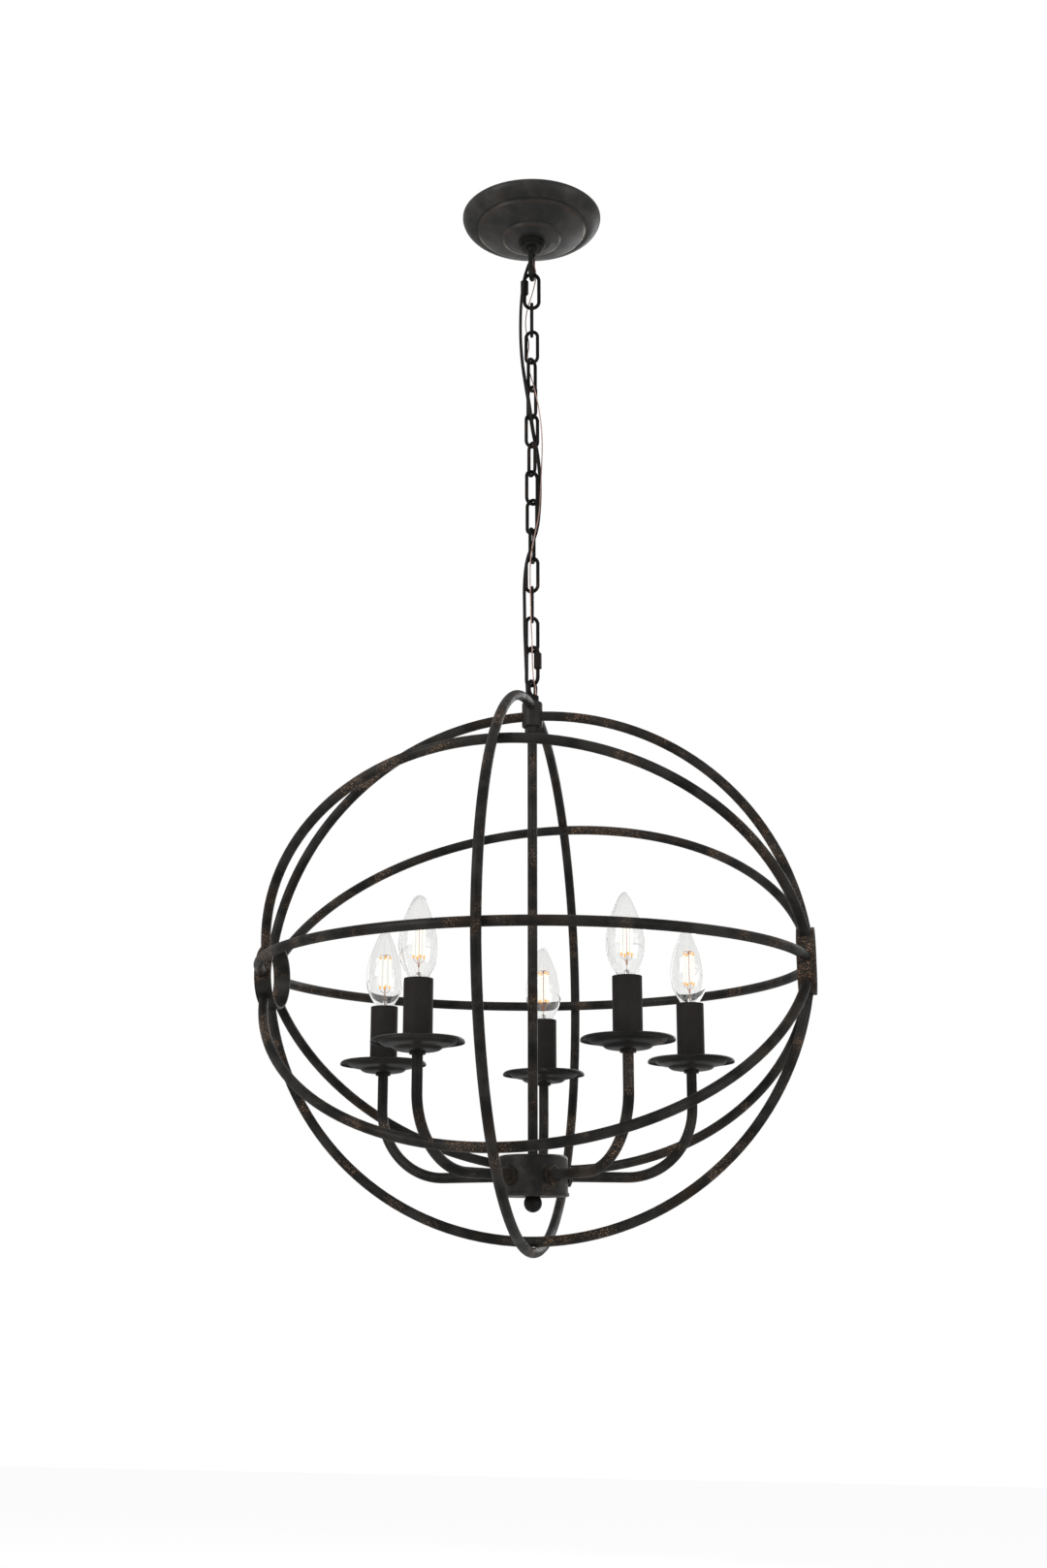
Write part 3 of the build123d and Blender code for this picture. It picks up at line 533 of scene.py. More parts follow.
# ------------------------------------------------------------------ geometry trees
class Sized:
    """A geometry tree with named inputs, which turns a plain object into a finished mesh."""

    def __init__(self, name: str, inputs: dict[str, str]) -> None:
        """Start the tree.

        Args:
            name: the tree's name.
            inputs: the name of each input to its socket type.
        """
        self.tree = bpy.data.node_groups.new(name, "GeometryNodeTree")
        self.tree.interface.new_socket("Geometry", in_out="INPUT", socket_type="NodeSocketGeometry")
        for label, kind in inputs.items():
            self.tree.interface.new_socket(label, in_out="INPUT", socket_type=kind)
        self.tree.interface.new_socket("Geometry", in_out="OUTPUT", socket_type="NodeSocketGeometry")
        self.source = add(self.tree, "NodeGroupInput")

    def end(self, geometry: bpy.types.NodeSocket) -> None:
        """Realize the instances, set the material and close the tree."""
        real = add(self.tree, "GeometryNodeRealizeInstances", {0: geometry})
        dressed = add(
            self.tree,
            "GeometryNodeSetMaterial",
            {"Geometry": real.outputs[0], "Material": self.source.outputs["Material"]},
        )
        add(self.tree, "NodeGroupOutput", {0: dressed.outputs[0]})

    def bake(self, thing: bpy.types.Object, **values: Any) -> bpy.types.Mesh:
        """Run the tree on an object and return the plain mesh; the object is used up.

        Args:
            thing: what the tree starts from.
            values: input name, with _ for a space, to its value.

        Returns:
            The finished mesh.
        """
        modifier = thing.modifiers.new("shape", "NODES")
        modifier.node_group = self.tree
        for item in self.tree.interface.items_tree:
            if item.in_out == "INPUT" and item.name.replace(" ", "_") in values:
                modifier[item.identifier] = values[item.name.replace(" ", "_")]
        seen = bpy.context.evaluated_depsgraph_get()
        mesh = bpy.data.meshes.new_from_object(thing.evaluated_get(seen))
        thing.modifiers.remove(modifier)
        bpy.data.objects.remove(thing)
        return mesh


class AroundTree(Sized):
    """Repeats a piece at equal angles about a vertical axis."""

    def __init__(self) -> None:
        """Build the tree."""
        super().__init__(
            "pieces_around",
            {
                "Count": "NodeSocketInt",
                "First Angle": "NodeSocketFloat",
                "Radius": "NodeSocketFloat",
                "Centre": "NodeSocketVector",
                "Material": "NodeSocketMaterial",
            },
        )
        tree, given = self.tree, self.source.outputs
        ring = add(tree, "GeometryNodeMeshCircle", {"Vertices": given["Count"], "Radius": given["Radius"]})
        turn = add(tree, "ShaderNodeCombineXYZ", {"Z": given["First Angle"]})
        placed = add(
            tree,
            "GeometryNodeTransform",
            {"Geometry": ring.outputs[0], "Translation": given["Centre"], "Rotation": turn.outputs[0]},
        )
        step = add(tree, "ShaderNodeMath", {0: 2 * math.pi, 1: given["Count"]}, operation="DIVIDE")
        index = add(tree, "GeometryNodeInputIndex")
        angle = add(
            tree,
            "ShaderNodeMath",
            {0: index.outputs[0], 1: step.outputs[0], 2: given["First Angle"]},
            operation="MULTIPLY_ADD",
        )
        spin = add(tree, "ShaderNodeCombineXYZ", {"Z": angle.outputs[0]})
        copies = add(
            tree,
            "GeometryNodeInstanceOnPoints",
            {"Points": placed.outputs[0], "Instance": given["Geometry"], "Rotation": spin.outputs[0]},
        )
        self.end(copies.outputs[0])


class WireTree(Sized):
    """Sweeps a round wire along every run of edges."""

    def __init__(self) -> None:
        """Build the tree."""
        super().__init__("wire_along", {"Diameter": "NodeSocketFloat", "Material": "NodeSocketMaterial"})
        tree, given = self.tree, self.source.outputs
        run = add(tree, "GeometryNodeMeshToCurve", {0: given["Geometry"]})
        radius = add(tree, "ShaderNodeMath", {0: given["Diameter"], 1: 0.5}, operation="MULTIPLY")
        size = {"Resolution": 12, "Radius": radius.outputs[0]}
        disc = add(tree, "GeometryNodeCurvePrimitiveCircle", size)
        tube = add(
            tree,
            "GeometryNodeCurveToMesh",
            {"Curve": run.outputs[0], "Profile Curve": disc.outputs[0], "Fill Caps": True},
        )
        self.end(add(tree, "GeometryNodeSetShadeSmooth", {"Geometry": tube.outputs[0]}).outputs[0])


class TwinCordTree(Sized):
    """Sweeps the waisted section of a two-core flat cord along a run of edges."""

    def __init__(self) -> None:
        """Build the tree."""
        super().__init__(
            "twin_cord_along",
            {
                "Width": "NodeSocketFloat",
                "Thickness": "NodeSocketFloat",
                "Waist": "NodeSocketFloat",
                "Material": "NodeSocketMaterial",
            },
        )
        tree, given = self.tree, self.source.outputs
        run = add(tree, "GeometryNodeMeshToCurve", {0: given["Geometry"]})
        flat = add(tree, "GeometryNodeInputNamedAttribute", {"Name": "flat_way"}, data_type="FLOAT_VECTOR")
        faced = add(
            tree,
            "GeometryNodeSetCurveNormal",
            {"Curve": run.outputs[0], "Normal": flat.outputs["Attribute"]},
            mode="FREE",
        )
        disc = add(tree, "GeometryNodeCurvePrimitiveCircle", {"Resolution": 32, "Radius": 0.5})
        spot = add(tree, "ShaderNodeSeparateXYZ", {0: add(tree, "GeometryNodeInputPosition").outputs[0]})
        across = add(tree, "ShaderNodeMath", {0: spot.outputs["Y"]}, operation="ABSOLUTE")
        near = add(
            tree,
            "ShaderNodeMapRange",
            {"Value": across.outputs[0], "From Min": 0.2, "From Max": 0.0},
            interpolation_type="SMOOTHSTEP",
        )
        pinch = product(tree, near.outputs[0], given["Waist"])
        left = add(tree, "ShaderNodeMath", {0: 1.0, 1: pinch}, operation="SUBTRACT")
        thick = product(tree, left.outputs[0], given["Thickness"])
        x = product(tree, spot.outputs["X"], thick)
        y = product(tree, spot.outputs["Y"], given["Width"])
        place = add(tree, "ShaderNodeCombineXYZ", {"X": x, "Y": y})
        shape = add(
            tree, "GeometryNodeSetPosition", {"Geometry": disc.outputs[0], "Position": place.outputs[0]}
        )
        tube = add(
            tree,
            "GeometryNodeCurveToMesh",
            {"Curve": faced.outputs[0], "Profile Curve": shape.outputs[0], "Fill Caps": True},
        )
        self.end(add(tree, "GeometryNodeSetShadeSmooth", {"Geometry": tube.outputs[0]}).outputs[0])


# ------------------------------------------------------------------ sub-assemblies
RODS = RubbedBronze("enamel_on_steel_rubbed_bronze", "rubbed_bronze")
BANDS = RubbedBronze("enamel_on_rolled_steel_band", "rubbed_bronze", brown="#4a3022", rubbed=0.5)
BODY = RubbedBronze(
    "enamel_on_pressed_steel",
    "rubbed_bronze",
    dark="#262524",
    light="#454341",
    brown="#35302c",
    cloud_mm=24.0,
    rubbed=0.6,
    roughness=0.42,
)
CHAIN = RubbedBronze(
    "enamel_on_steel_wire", "rubbed_bronze", dark="#100f0f", light="#1e1b19", rubbed=0.62, copper="#7b5a46"
)
FINIAL = RubbedBronze(
    "enamel_on_turned_ball",
    "rubbed_bronze",
    dark="#1a1918",
    light="#282523",
    rubbed=0.72,
    roughness=0.34,
)
PANS = RubbedBronze(
    "satin_enamel_on_pressed_pan", "rubbed_bronze", rubbed=0.66, roughness=0.36, light="#2f2c2a"
)
CANOPY = CanopyBronze("enamel_on_spun_steel_canopy", "canopy_bronze")
COLLAR = RubbedBronze("enamel_on_turned_collar", "canopy_bronze", rubbed=0.66, roughness=0.4)
SLEEVE = SatinPlastic("drawn_tube_matte_black", "sleeve_black")
SOCKET = SatinPlastic("moulded_phenolic_black", "socket_black", base="#1c1b1b", roughness=0.42)
ZINC = PlatedMetal("zinc_plated_steel", "zinc_steel")
GREEN = RubbedBronze(
    "green_dyed_steel_screw",
    "ground_green",
    dark="#0f4a21",
    light="#1c6b33",
    copper="#8fa08a",
    roughness=0.4,
)
SHEATH = SatinPlastic(
    "extruded_vinyl_cord", "cord_sheath", base="#171412", fleck="#4d4038", roughness=0.48, grain_mm=1.2
)
STRAND = PlatedMetal(
    "tinned_copper_under_clear_vinyl", "ground_wire", base="#c9aea2", stain="#a8796a", roughness=0.4
)
GLASS = BlownGlass("blown_soda_lime_glass", "bulb_glass")
LEAD = PlatedMetal("copper_lead_wire", "bulb_glass", base="#b5744f", stain="#8d5233", roughness=0.3)
CAP = PlatedMetal("nickel_plated_screw_cap", "bulb_glass", base="#c4bfb4", stain="#a49c8c", roughness=0.28)

FINISH_BY_START: tuple[tuple[str, Finish], ...] = (
    ("ceiling_crossbar", ZINC),
    ("crossbar_nut", ZINC),
    ("ground_screw", GREEN),
    ("collar_ring", COLLAR),
    ("canopy_loop", COLLAR),
    ("canopy", CANOPY),
    ("chain_link", CHAIN),
    ("quick_link", CHAIN),
    ("cage_loop", CHAIN),
    ("cluster_body", BODY),
    ("base_plate", BODY),
    ("finial", FINIAL),
    ("band_", BANDS),
    ("candle_sleeves", SLEEVE),
    ("lamp_sockets", SOCKET),
    ("arm_nipples", ZINC),
    ("saucer_collars", PANS),
)


@dataclass
class Ironwork:
    """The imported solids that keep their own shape: rods, bands, chain, arms, canopy and fittings."""

    def dress(self, nodes: dict[str, bpy.types.Object]) -> None:
        """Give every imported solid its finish.

        Args:
            nodes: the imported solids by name.
        """
        for name, node in sorted(nodes.items()):
            finish = next((f for start, f in FINISH_BY_START if name.startswith(start)), RODS)
            if not node.material_slots:
                node.data.materials.append(finish.material())
            for place in node.material_slots:
                place.material = finish.material()
            LOG.info("%s: %s", name, finish.name)


@dataclass
class Lamps:
    """Five places on a circle: the pans, and the bulbs in their sleeves."""

    count: int = 5
    first_angle: float = math.radians(24.1)
    circle_r: float = 149.5 * MM
    crown_z: float = -846.7 * MM
    pan_r: float = 39.8 * MM
    pan_depth: float = 11.2 * MM
    pan_wall: float = 1.1 * MM
    pan_bore_r: float = 5.1 * MM
    sleeve_top: float = -796.5 * MM
    bulb_height: float = 72.0 * MM
    bulb_r: float = 17.5 * MM
    glass_wall: float = 0.5 * MM
    neck_r: float = 8.3 * MM
    neck_depth: float = 8.6 * MM
    filaments: int = 4
    filament_r: float = 4.6 * MM
    filament_d: float = 1.7 * MM
    filament_low: float = 17.1 * MM
    filament_length: float = 30.2 * MM
    filament_turns: tuple[float, ...] = (27.0, 34.0, 21.0, 30.0, 25.0)
    lead_d: float = 0.42 * MM
    cap_r: float = 5.85 * MM
    cap_top: float = -8.9 * MM
    cap_length: float = 16.0 * MM

    def axis(self, number: int) -> Vector:
        """The foot of lamp number's axis, at the sleeve's top edge."""
        angle = self.first_angle + 2 * math.pi * (number - 1) / self.count
        return Vector((self.circle_r * math.cos(angle), self.circle_r * math.sin(angle), self.sleeve_top))

    def pans(self, around: AroundTree) -> None:
        """Drip pans: a small cup in a wide bowl, and a flange whose rim is rolled over and down."""
        crown, low = self.crown_z, self.crown_z - self.pan_depth
        wall, r = self.pan_wall, self.pan_r
        lower = rounded([
            (13.4 * MM, low),
            (18.0 * MM, low + 0.9 * MM),
            (20.4 * MM, low + 2.4 * MM),
            (21.3 * MM, low + 3.4 * MM),
            (23.1 * MM, low + 3.95 * MM),
            (29.3 * MM, low + 5.3 * MM),
            (32.3 * MM, low + 7.3 * MM),
            (33.5 * MM, low + 8.9 * MM),
            (34.6 * MM, crown - wall - 0.15 * MM),
            (36.3 * MM, crown - wall - 0.05 * MM),
            (38.2 * MM, crown - wall - 1.0 * MM),
            (38.75 * MM, crown - 4.1 * MM),
        ])
        upper = rounded([
            (r - 0.1 * MM, crown - 4.15 * MM),
            (r, crown - 3.0 * MM),
            (38.9 * MM, crown - 1.3 * MM),
            (36.3 * MM, crown),
            (33.9 * MM, crown - 0.35 * MM),
            (32.3 * MM, low + 8.9 * MM),
            (29.0 * MM, low + 6.5 * MM),
            (23.0 * MM, low + 4.0 * MM + wall),
            (20.9 * MM, low + 3.4 * MM + wall),
            (17.4 * MM, low + 0.9 * MM + wall),
            (13.2 * MM, low + wall),
        ])
        profile = [(self.pan_bore_r, low), *lower, *upper, (self.pan_bore_r, low + wall)]
        pan = turned(profile, Vector((0, 0, 0)), 96)
        start = bpy.data.objects.new("pan", pan)
        bpy.context.scene.collection.objects.link(start)
        mesh = around.bake(
            start,
            Count=self.count,
            First_Angle=self.first_angle,
            Radius=self.circle_r,
            Centre=(0.0, 0.0, 0.0),
            Material=PANS.material(),
        )
        pans = new_object("drip_pans", mesh, PANS)
        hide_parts("saucers")
        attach(pans, "cage")

    def outline(self, inset: float) -> list[tuple[float, float]]:
        """The bulb's outline from its neck to its tip, drawn in by inset."""
        tall, wide = self.bulb_height, self.bulb_r
        spots = [
            (self.neck_r, -self.neck_depth),
            (8.3 * MM, -4.0 * MM),
            (8.5 * MM, 0.0),
            (0.56 * wide, 0.048 * tall),
            (0.75 * wide, 0.125 * tall),
            (0.91 * wide, 0.22 * tall),
            (wide, 0.36 * tall),
            (0.97 * wide, 0.49 * tall),
            (0.84 * wide, 0.645 * tall),
            (0.62 * wide, 0.79 * tall),
            (0.38 * wide, 0.925 * tall),
            (0.18 * wide, 0.985 * tall),
            (0.0, tall),
        ]
        drawn = [(max(r - inset, 0.2 * MM), z - inset * (z / tall) ** 2 * (z > 0)) for r, z in spots[:-1]]
        return rounded([*drawn, (0.0, tall - inset)], 7)

    def bulb(self, number: int, around: AroundTree, wires: WireTree) -> None:
        """One clear candle bulb: its glass, filaments, wires, stem and screw cap."""
        centre, body = self.axis(number), f"bulb_{number}_body"
        shell = self.outline(0.0) + self.outline(self.glass_wall)[::-1]
        glass = new_object(f"bulb_glass_{number}", turned(shell, centre, 72), GLASS)
        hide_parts(f"bulb_{number}")
        pieces = [glass]

        turn = math.radians(self.filament_turns[number - 1])
        low, high = self.filament_low, self.filament_low + self.filament_length
        strip_r, end_r = self.filament_d / 2, 0.5 * self.filament_d / 2
        strip = turned(
            [
                (0, low), (end_r, low), (strip_r, low + 0.5 * MM),
                (strip_r, high - 0.5 * MM), (end_r, high), (0, high),
            ],
            Vector((0, 0, self.sleeve_top)),
            10,
        )
        start = bpy.data.objects.new("strip", strip)
        bpy.context.scene.collection.objects.link(start)
        glow = LitFilament(
            "phosphor_resin_filament",
            "bulb_glass",
            low_z=self.sleeve_top + low,
            high_z=self.sleeve_top + high,
        )
        mesh = around.bake(
            start,
            Count=self.filaments,
            First_Angle=turn,
            Radius=self.filament_r,
            Centre=(centre.x, centre.y, 0.0),
            Material=glow.material(),
        )
        pieces.append(new_object(f"bulb_filaments_{number}", mesh, glow))

        points, links = [], []
        for way, at, meet in ((Way.DOWN, low, 12.6 * MM), (Way.UP, high, high + 1.6 * MM)):
            for k in range(self.filaments):
                angle = turn + 2 * math.pi / self.filaments * k
                out = Vector((math.cos(angle), math.sin(angle), 0))
                bow = 1.3 * MM * way.value
                run = [
                    out * self.filament_r + Vector((0, 0, at - 0.3 * MM * way.value)),
                    out * (self.filament_r * 0.98) + Vector((0, 0, at + bow)),
                    out * (self.filament_r * 0.62) + Vector((0, 0, (at + bow + meet) / 2)),
                    out * 0.7 * MM + Vector((0, 0, meet)),
                    out * 0.45 * MM + Vector((0, 0, meet - 3.0 * MM)),
                ]
                links += [(len(points) + j, len(points) + j + 1) for j in range(len(run) - 1)]
                points += [centre + p for p in run]
        mast = [Vector((0, 0, z)) for z in (2.5 * MM, high * 0.5, high + 1.5 * MM)]
        links += [(len(points) + j, len(points) + j + 1) for j in range(len(mast) - 1)]
        points += [centre + p for p in mast]
        mesh = wires.bake(polyline(points, links), Diameter=self.lead_d, Material=LEAD.material())
        pieces.append(new_object(f"bulb_wires_{number}", mesh, LEAD))

        stem = rounded([
            (4.9 * MM, -8.4 * MM), (4.0 * MM, -6.5 * MM), (2.4 * MM, -3.5 * MM), (1.9 * MM, 0.5 * MM),
            (2.2 * MM, 3.0 * MM), (1.7 * MM, 5.0 * MM), (0.0, 5.6 * MM),
        ])
        pieces.append(
            new_object(f"bulb_stem_{number}", turned([(0, -8.4 * MM), *stem], centre, 32), GLASS)
        )

        foot = self.cap_top - self.cap_length
        ridges = [
            (self.cap_r + 0.4 * MM * math.sin(2 * math.pi * k / 8) ** 2, foot + 2.0 * MM + k * 0.37 * MM)
            for k in range(30)
        ]
        cap = [
            (0, foot - 1.4 * MM), (2.4 * MM, foot - 1.4 * MM), (2.5 * MM, foot), (5.3 * MM, foot),
            (self.cap_r, foot + 1.2 * MM), *ridges, (self.cap_r, self.cap_top - 1.2 * MM),
            (7.4 * MM, self.cap_top), (0, self.cap_top),
        ]
        pieces.append(new_object(f"bulb_cap_{number}", turned(cap, centre, 48), CAP))
        for piece in pieces:
            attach(piece, body)


@dataclass
class HangingCords:
    """The supply cord and the bare earth wire, woven down through the chain from link to link."""

    first_link_z: float = -98.0 * MM
    link_pitch: float = 30.3 * MM
    loop_mouth: float = -42.0 * MM
    collar_top: float = -509.9 * MM
    start_depth: float = 5.0 * MM
    mouth_drop: float = 4.0 * MM
    cord_width: float = 4.0 * MM
    cord_thickness: float = 2.7 * MM
    cord_waist: float = 0.3
    wire_d: float = 1.1 * MM
    bend_reach: float = 12.0 * MM
    turning_share: int = 14

    # x and y in millimetres, and the place along the chain in links
    cord_stations: tuple[tuple[float, float, float], ...] = (
        (-3.3, -3.8, -1.35), (-6.6, -7.3, -0.83), (-9.0, -7.9, -0.17), (-10.3, -6.7, 0.56),
        (-10.3, -6.0, 1.42), (-8.4, -6.7, 2.24), (-5.2, -8.0, 2.94), (-1.9, -8.0, 3.60),
        (-0.3, -5.3, 4.09), (0.7, 1.6, 4.55), (3.0, 7.2, 5.02), (6.1, 8.8, 5.81),
        (6.7, 8.0, 6.60), (6.2, 6.1, 7.33), (4.8, 3.2, 7.99), (-0.1, -0.4, 8.55),
        (-4.8, -3.5, 9.08), (-6.8, -5.6, 9.87), (-6.1, -6.7, 10.76), (-5.8, -7.5, 11.52),
        (-5.2, -6.5, 12.21), (-5.2, -3.5, 12.81),
    )
    wire_stations: tuple[tuple[float, float, float], ...] = (
        (4.6, 4.8, -1.25), (0.1, 6.7, -0.59), (-6.6, 6.6, 0.07), (-7.8, 5.2, 0.73),
        (-2.4, 1.4, 1.42), (-4.5, -2.4, 1.91), (-2.5, -2.0, 2.44), (3.1, -6.4, 3.04),
        (7.3, -6.7, 3.70), (10.0, -2.9, 4.42), (10.3, 1.0, 5.15), (8.9, 2.4, 6.01),
        (8.3, 0.2, 6.80), (7.8, -4.4, 7.59), (3.7, -7.7, 8.32), (0.0, -8.7, 9.04),
        (-0.5, -8.6, 9.80), (0.2, -8.6, 10.56), (0.3, -8.5, 11.19), (1.5, -8.0, 11.95),
        (1.5, -8.3, 12.64), (2.7, -6.4, 13.20),
    )

    def route(
        self, mouth: tuple[float, float], stations: tuple, foot: tuple[float, float], rise: float
    ) -> list[Vector]:
        """The smooth line of a cord.

        Args:
            mouth: x and y where it leaves the canopy loop, in millimetres.
            stations: its points down the chain.
            foot: x and y where it goes into the cage loop's collar, in millimetres.
            rise: height of its last straight run, in metres.

        Returns:
            Points along one NURBS line, from the top down.
        """
        top = [self.loop_mouth + self.start_depth, self.loop_mouth - self.mouth_drop]
        spots = [(*mouth, z) for z in top]
        spots += [(x, y, self.first_link_z - place * self.link_pitch) for x, y, place in stations]
        spots += [(*foot, self.collar_top + rise), (*foot, self.collar_top)]
        data = bpy.data.curves.new("route", "CURVE")
        data.dimensions = "3D"
        line = data.splines.new("NURBS")
        line.points.add(len(spots) - 1)
        for point, (x, y, z) in zip(line.points, spots):
            point.co = (x * MM, y * MM, z, 1)
        line.order_u = 3
        line.use_endpoint_u = True
        line.resolution_u = 7
        holder = bpy.data.objects.new("route", data)
        bpy.context.scene.collection.objects.link(holder)
        seen = bpy.context.evaluated_depsgraph_get()
        mesh = bpy.data.meshes.new_from_object(holder.evaluated_get(seen))
        points = [v.co.copy() for v in mesh.vertices]
        bpy.data.meshes.remove(mesh)
        bpy.data.objects.remove(holder)
        return points

    def flat_ways(self, points: list[Vector]) -> list[Vector]:
        """Where the cord's flat side faces: away from the chain, and never turning sharply."""
        ways: list[Vector] = []
        for point in points:
            out = Vector((point.x, point.y, 0))
            out = out.normalized() if out.length > 2 * MM else (ways[-1] if ways else Vector((0, -1, 0)))
            if ways and out.dot(ways[-1]) < 0:
                out = -out
            ways.append(out)
        reach = self.turning_share
        eased = []
        for k in range(len(ways)):
            near = ways[max(0, k - reach) : k + reach + 1]
            eased.append(sum(near, Vector()).normalized())
        return eased

    def sections(
        self, name: str, mesh: bpy.types.Mesh, finish: Finish, chain: list[dict], node: str
    ) -> None:
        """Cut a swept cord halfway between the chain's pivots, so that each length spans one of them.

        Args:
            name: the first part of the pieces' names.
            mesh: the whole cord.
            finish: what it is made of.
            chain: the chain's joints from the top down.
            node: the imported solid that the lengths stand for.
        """
        pivots = [joint["pos_m"][2] for joint in chain]
        middles = [(a + b) / 2 for a, b in zip(pivots, pivots[1:])]
        bounds = list(zip([None, *middles], [*middles, None]))
        for number, (joint, (top, bottom)) in enumerate(zip(chain, bounds), 1):
            work = bmesh.new()
            work.from_mesh(mesh)
            for height, outward in ((top, 1), (bottom, -1)):
                if height is None:
                    continue
                cut = bmesh.ops.bisect_plane(
                    work,
                    geom=[*work.verts, *work.edges, *work.faces],
                    dist=1e-7,
                    plane_co=(0, 0, height),
                    plane_no=(0, 0, outward),
                    clear_outer=True,
                )
                rim = [e for e in cut["geom_cut"] if isinstance(e, bmesh.types.BMEdge)]
                bmesh.ops.edgeloop_fill(work, edges=rim)
            bmesh.ops.recalc_face_normals(work, faces=work.faces)
            part = bpy.data.meshes.new(name)
            work.to_mesh(part)
            work.free()
            smooth(part, 60.0)
            piece = new_object(f"{name}_{number:02d}", part, finish)
            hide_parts(node)
            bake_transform(piece)
        bpy.data.meshes.remove(mesh)

    def build(self, chain: list[dict], wires: WireTree) -> None:
        """Make both cords.

        Args:
            chain: the chain's joints from the top down.
            wires: the tree that sweeps a round wire.
        """
        points = self.route((0.1, -0.7), self.cord_stations, (-4.6, -1.2), 6.9 * MM)
        path = polyline(points, [(k, k + 1) for k in range(len(points) - 1)])
        ways = path.data.attributes.new("flat_way", "FLOAT_VECTOR", "POINT")
        for spot, way in zip(ways.data, self.flat_ways(points)):
            spot.vector = way
        mesh = TwinCordTree().bake(
            path,
            Width=self.cord_width,
            Thickness=self.cord_thickness,
            Waist=self.cord_waist,
            Material=SHEATH.material(),
        )
        self.sections("supply_cord_length", mesh, SHEATH, chain, "supply_cord")
        points = self.route((-0.3, 1.7), self.wire_stations, (3.8, -2.8), 5.9 * MM)
        path = polyline(points, [(k, k + 1) for k in range(len(points) - 1)])
        mesh = wires.bake(path, Diameter=self.wire_d, Material=STRAND.material())
        self.sections("ground_wire_length", mesh, STRAND, chain, "ground_wire")


# ------------------------------------------------------------------ studio and camera
def clear_view(tree: bpy.types.NodeTree, ray: bpy.types.Node) -> bpy.types.NodeSocket:
    """The share that is 1 for a ray from the camera or through clear glass, and 0 for other rays.

    Args:
        tree: the tree that it goes into.
        ray: its light path node.

    Returns:
        The share's socket.
    """
    share = ray.outputs["Is Camera Ray"]
    for name in ("Is Transmission Ray", "Is Singular Ray"):
        both = add(tree, "ShaderNodeMath", {0: share, 1: ray.outputs[name]}, operation="MAXIMUM")
        share = both.outputs[0]
    return share


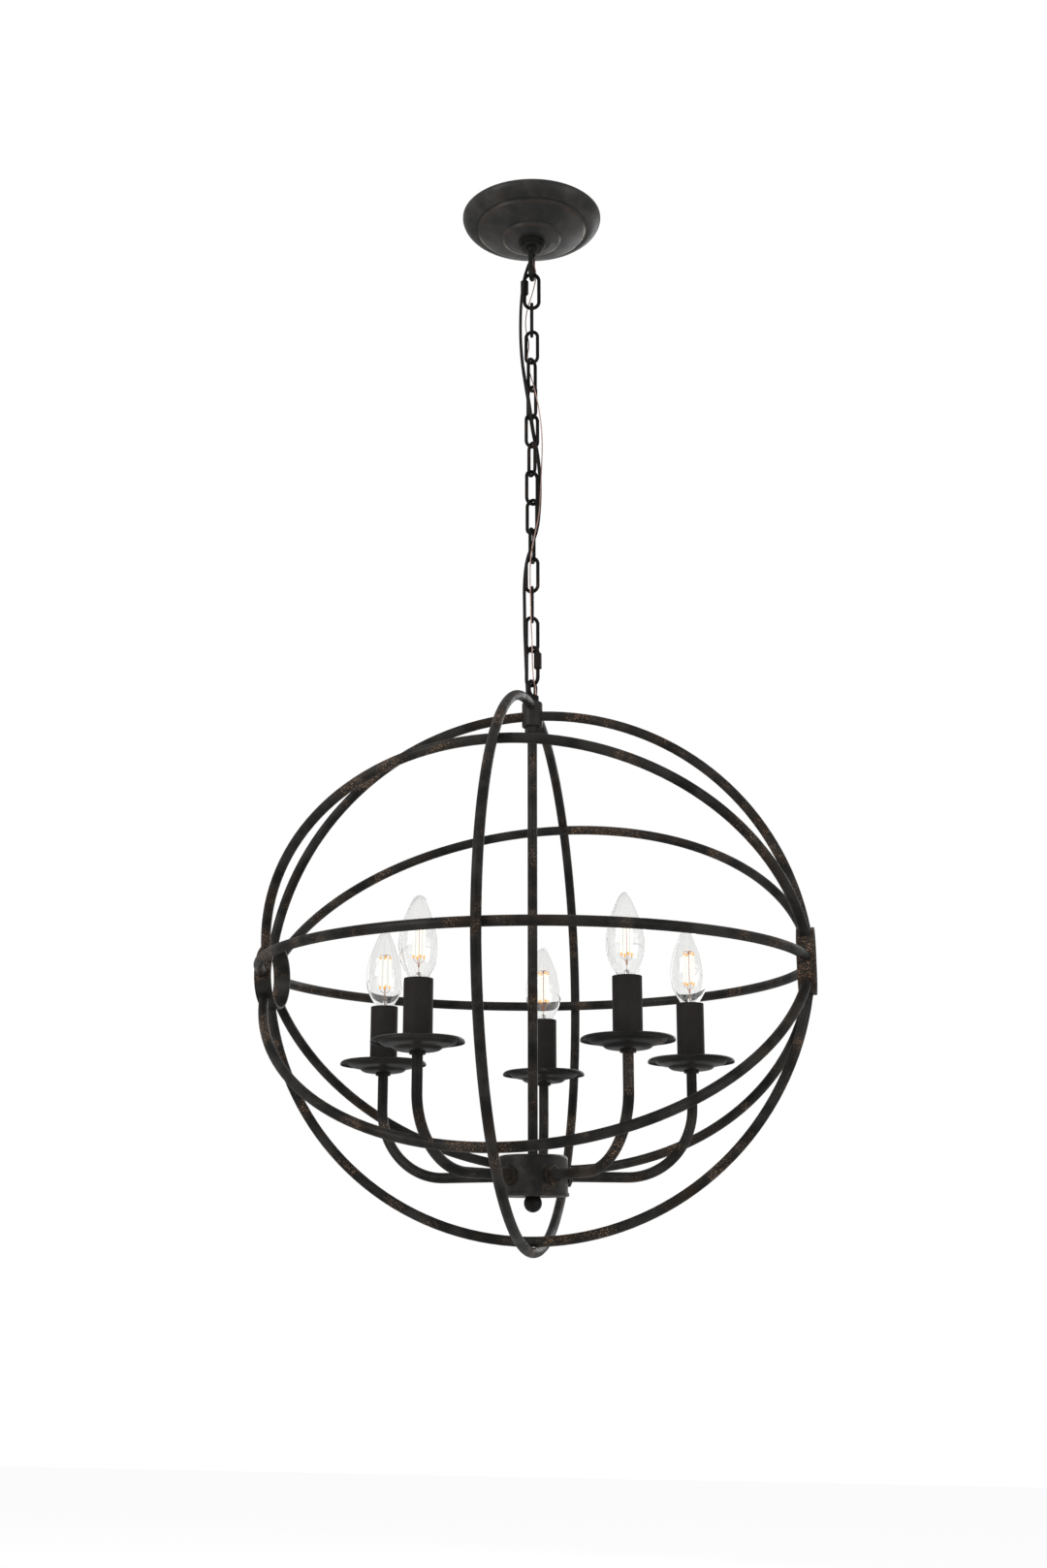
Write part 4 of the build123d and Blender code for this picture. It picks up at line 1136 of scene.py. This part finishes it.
@dataclass
class Studio:
    """A white room: a pale floor, soft lamps and a white surround."""

    floor_z: float = -1.62
    floor_half: float = 4.0
    fill: float = 0.5
    surround: float = 1.0
    board: float = 0.8
    glow: float = 0.55
    middle_z: float = -0.7

    def world(self) -> None:
        """White where the camera or the glass sees it, and a soft even fill elsewhere."""
        world = bpy.data.worlds.new("studio_white")
        world.use_nodes = True
        tree = world.node_tree
        tree.nodes.clear()
        ray = add(tree, "ShaderNodeLightPath")
        seen = clear_view(tree, ray)
        soft = add(tree, "ShaderNodeBackground", {"Color": (1, 1, 1, 1), "Strength": self.fill})
        white = add(tree, "ShaderNodeBackground", {"Color": (1, 1, 1, 1), "Strength": self.surround})
        both = add(tree, "ShaderNodeMixShader", {0: seen, 1: soft.outputs[0], 2: white.outputs[0]})
        add(tree, "ShaderNodeOutputWorld", {"Surface": both.outputs[0]})
        bpy.context.scene.world = world

    def floor(self) -> None:
        """A plain pale floor well under the light."""
        mesh = bpy.data.meshes.new("floor")
        h = self.floor_half
        mesh.from_pydata(
            [(-h, -h, self.floor_z), (h, -h, self.floor_z), (h, h, self.floor_z), (-h, h, self.floor_z)],
            [],
            [(0, 1, 2, 3)],
        )
        made = bpy.data.materials.new("matt_white_board")
        made.use_nodes = True
        tree = made.node_tree
        tree.nodes.clear()
        ray = add(tree, "ShaderNodeLightPath")
        seen = clear_view(tree, ray)
        grey = (self.board, self.board, self.board, 1)
        board = add(tree, "ShaderNodeBsdfDiffuse", {"Color": grey})
        white = add(tree, "ShaderNodeEmission", {"Color": (1, 1, 1, 1), "Strength": self.glow})
        lit = add(tree, "ShaderNodeAddShader", {0: board.outputs[0], 1: white.outputs[0]})
        both = add(tree, "ShaderNodeMixShader", {0: seen, 1: board.outputs[0], 2: lit.outputs[0]})
        add(tree, "ShaderNodeOutputMaterial", {"Surface": both.outputs[0]})
        mesh.materials.append(made)
        floor = bpy.data.objects.new("floor", mesh)
        bpy.context.scene.collection.objects.link(floor)

    def lamp(self, name: str, place: Vector, aim: Vector, size: float, watts: float) -> None:
        """One square soft lamp.

        Args:
            name: the lamp's name.
            place: where it stands.
            aim: what it points at.
            size: its side, in metres.
            watts: its power.
        """
        data = bpy.data.lights.new(name, "AREA")
        data.size, data.energy = size, watts
        lamp = bpy.data.objects.new(name, data)
        lamp.rotation_mode = "QUATERNION"
        lamp.rotation_quaternion = (aim - place).to_track_quat("-Z", "Y")
        lamp.location = place
        bpy.context.scene.collection.objects.link(lamp)

    def build(self) -> None:
        """Set the room up."""
        self.world()
        self.floor()
        middle = Vector((0, 0, self.middle_z))
        self.lamp("key", Vector((-1.6, -1.9, 0.1)), middle, 1.2, 20.0)
        self.lamp("side", Vector((1.9, -1.2, -0.6)), middle, 1.4, 10.0)
        self.lamp("back", Vector((0.6, 2.0, -0.2)), middle, 1.2, 9.0)


@dataclass
class Viewpoint:
    """The camera that the light was photographed with, from a fit to its rings."""

    cage_z: float = -770.3 * MM
    unit: float = 240.2 * MM
    distance: float = 6.8385
    height: float = -1.1048
    side: float = -0.0344
    pitch: float = 0.2616
    turn: float = 0.1831
    focal_px: float = 1879.9
    sensor_mm: float = 36.0

    def build(self) -> None:
        """Make the camera and use it."""
        data = bpy.data.cameras.new("view")
        data.sensor_width = self.sensor_mm
        data.lens = self.focal_px / FRAME_HEIGHT_PX * self.sensor_mm
        data.clip_start, data.clip_end = 0.05, 60
        spin = Matrix.Rotation(self.turn, 3, "Z")
        ahead = spin @ Vector((0, math.cos(self.pitch), math.sin(self.pitch)))
        up = spin @ Vector((0, -math.sin(self.pitch), math.cos(self.pitch)))
        right = ahead.cross(up)
        camera = bpy.data.objects.new("view", data)
        off = spin @ Vector((self.side, -self.distance, self.height)) * self.unit
        place = Matrix.Translation(off + Vector((0, 0, self.cage_z)))
        camera.matrix_world = place @ Matrix((right, up, -ahead)).transposed().to_4x4()
        bpy.context.scene.collection.objects.link(camera)
        bpy.context.scene.camera = camera


def main() -> None:
    """Build the scene in order: frame, view, cords, finishes, lamps and room."""
    logging.basicConfig(level=logging.INFO, format="%(message)s")
    scene = bpy.context.scene
    for thing in list(bpy.data.objects):
        bpy.data.objects.remove(thing)
    scene.view_settings.view_transform = "Standard"
    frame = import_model()
    Viewpoint().build()
    around, wires = AroundTree(), WireTree()
    chain = sorted(
        (j for j in frame["joints"] if j["name"].startswith("swing_")), key=lambda j: -j["pos_m"][2]
    )
    HangingCords().build(chain, wires)
    Ironwork().dress(frame["nodes"])
    lamps = Lamps()
    lamps.pans(around)
    for number in range(1, lamps.count + 1):
        lamps.bulb(number, around, wires)
    Studio().build()


if __name__ == "__main__":
    main()
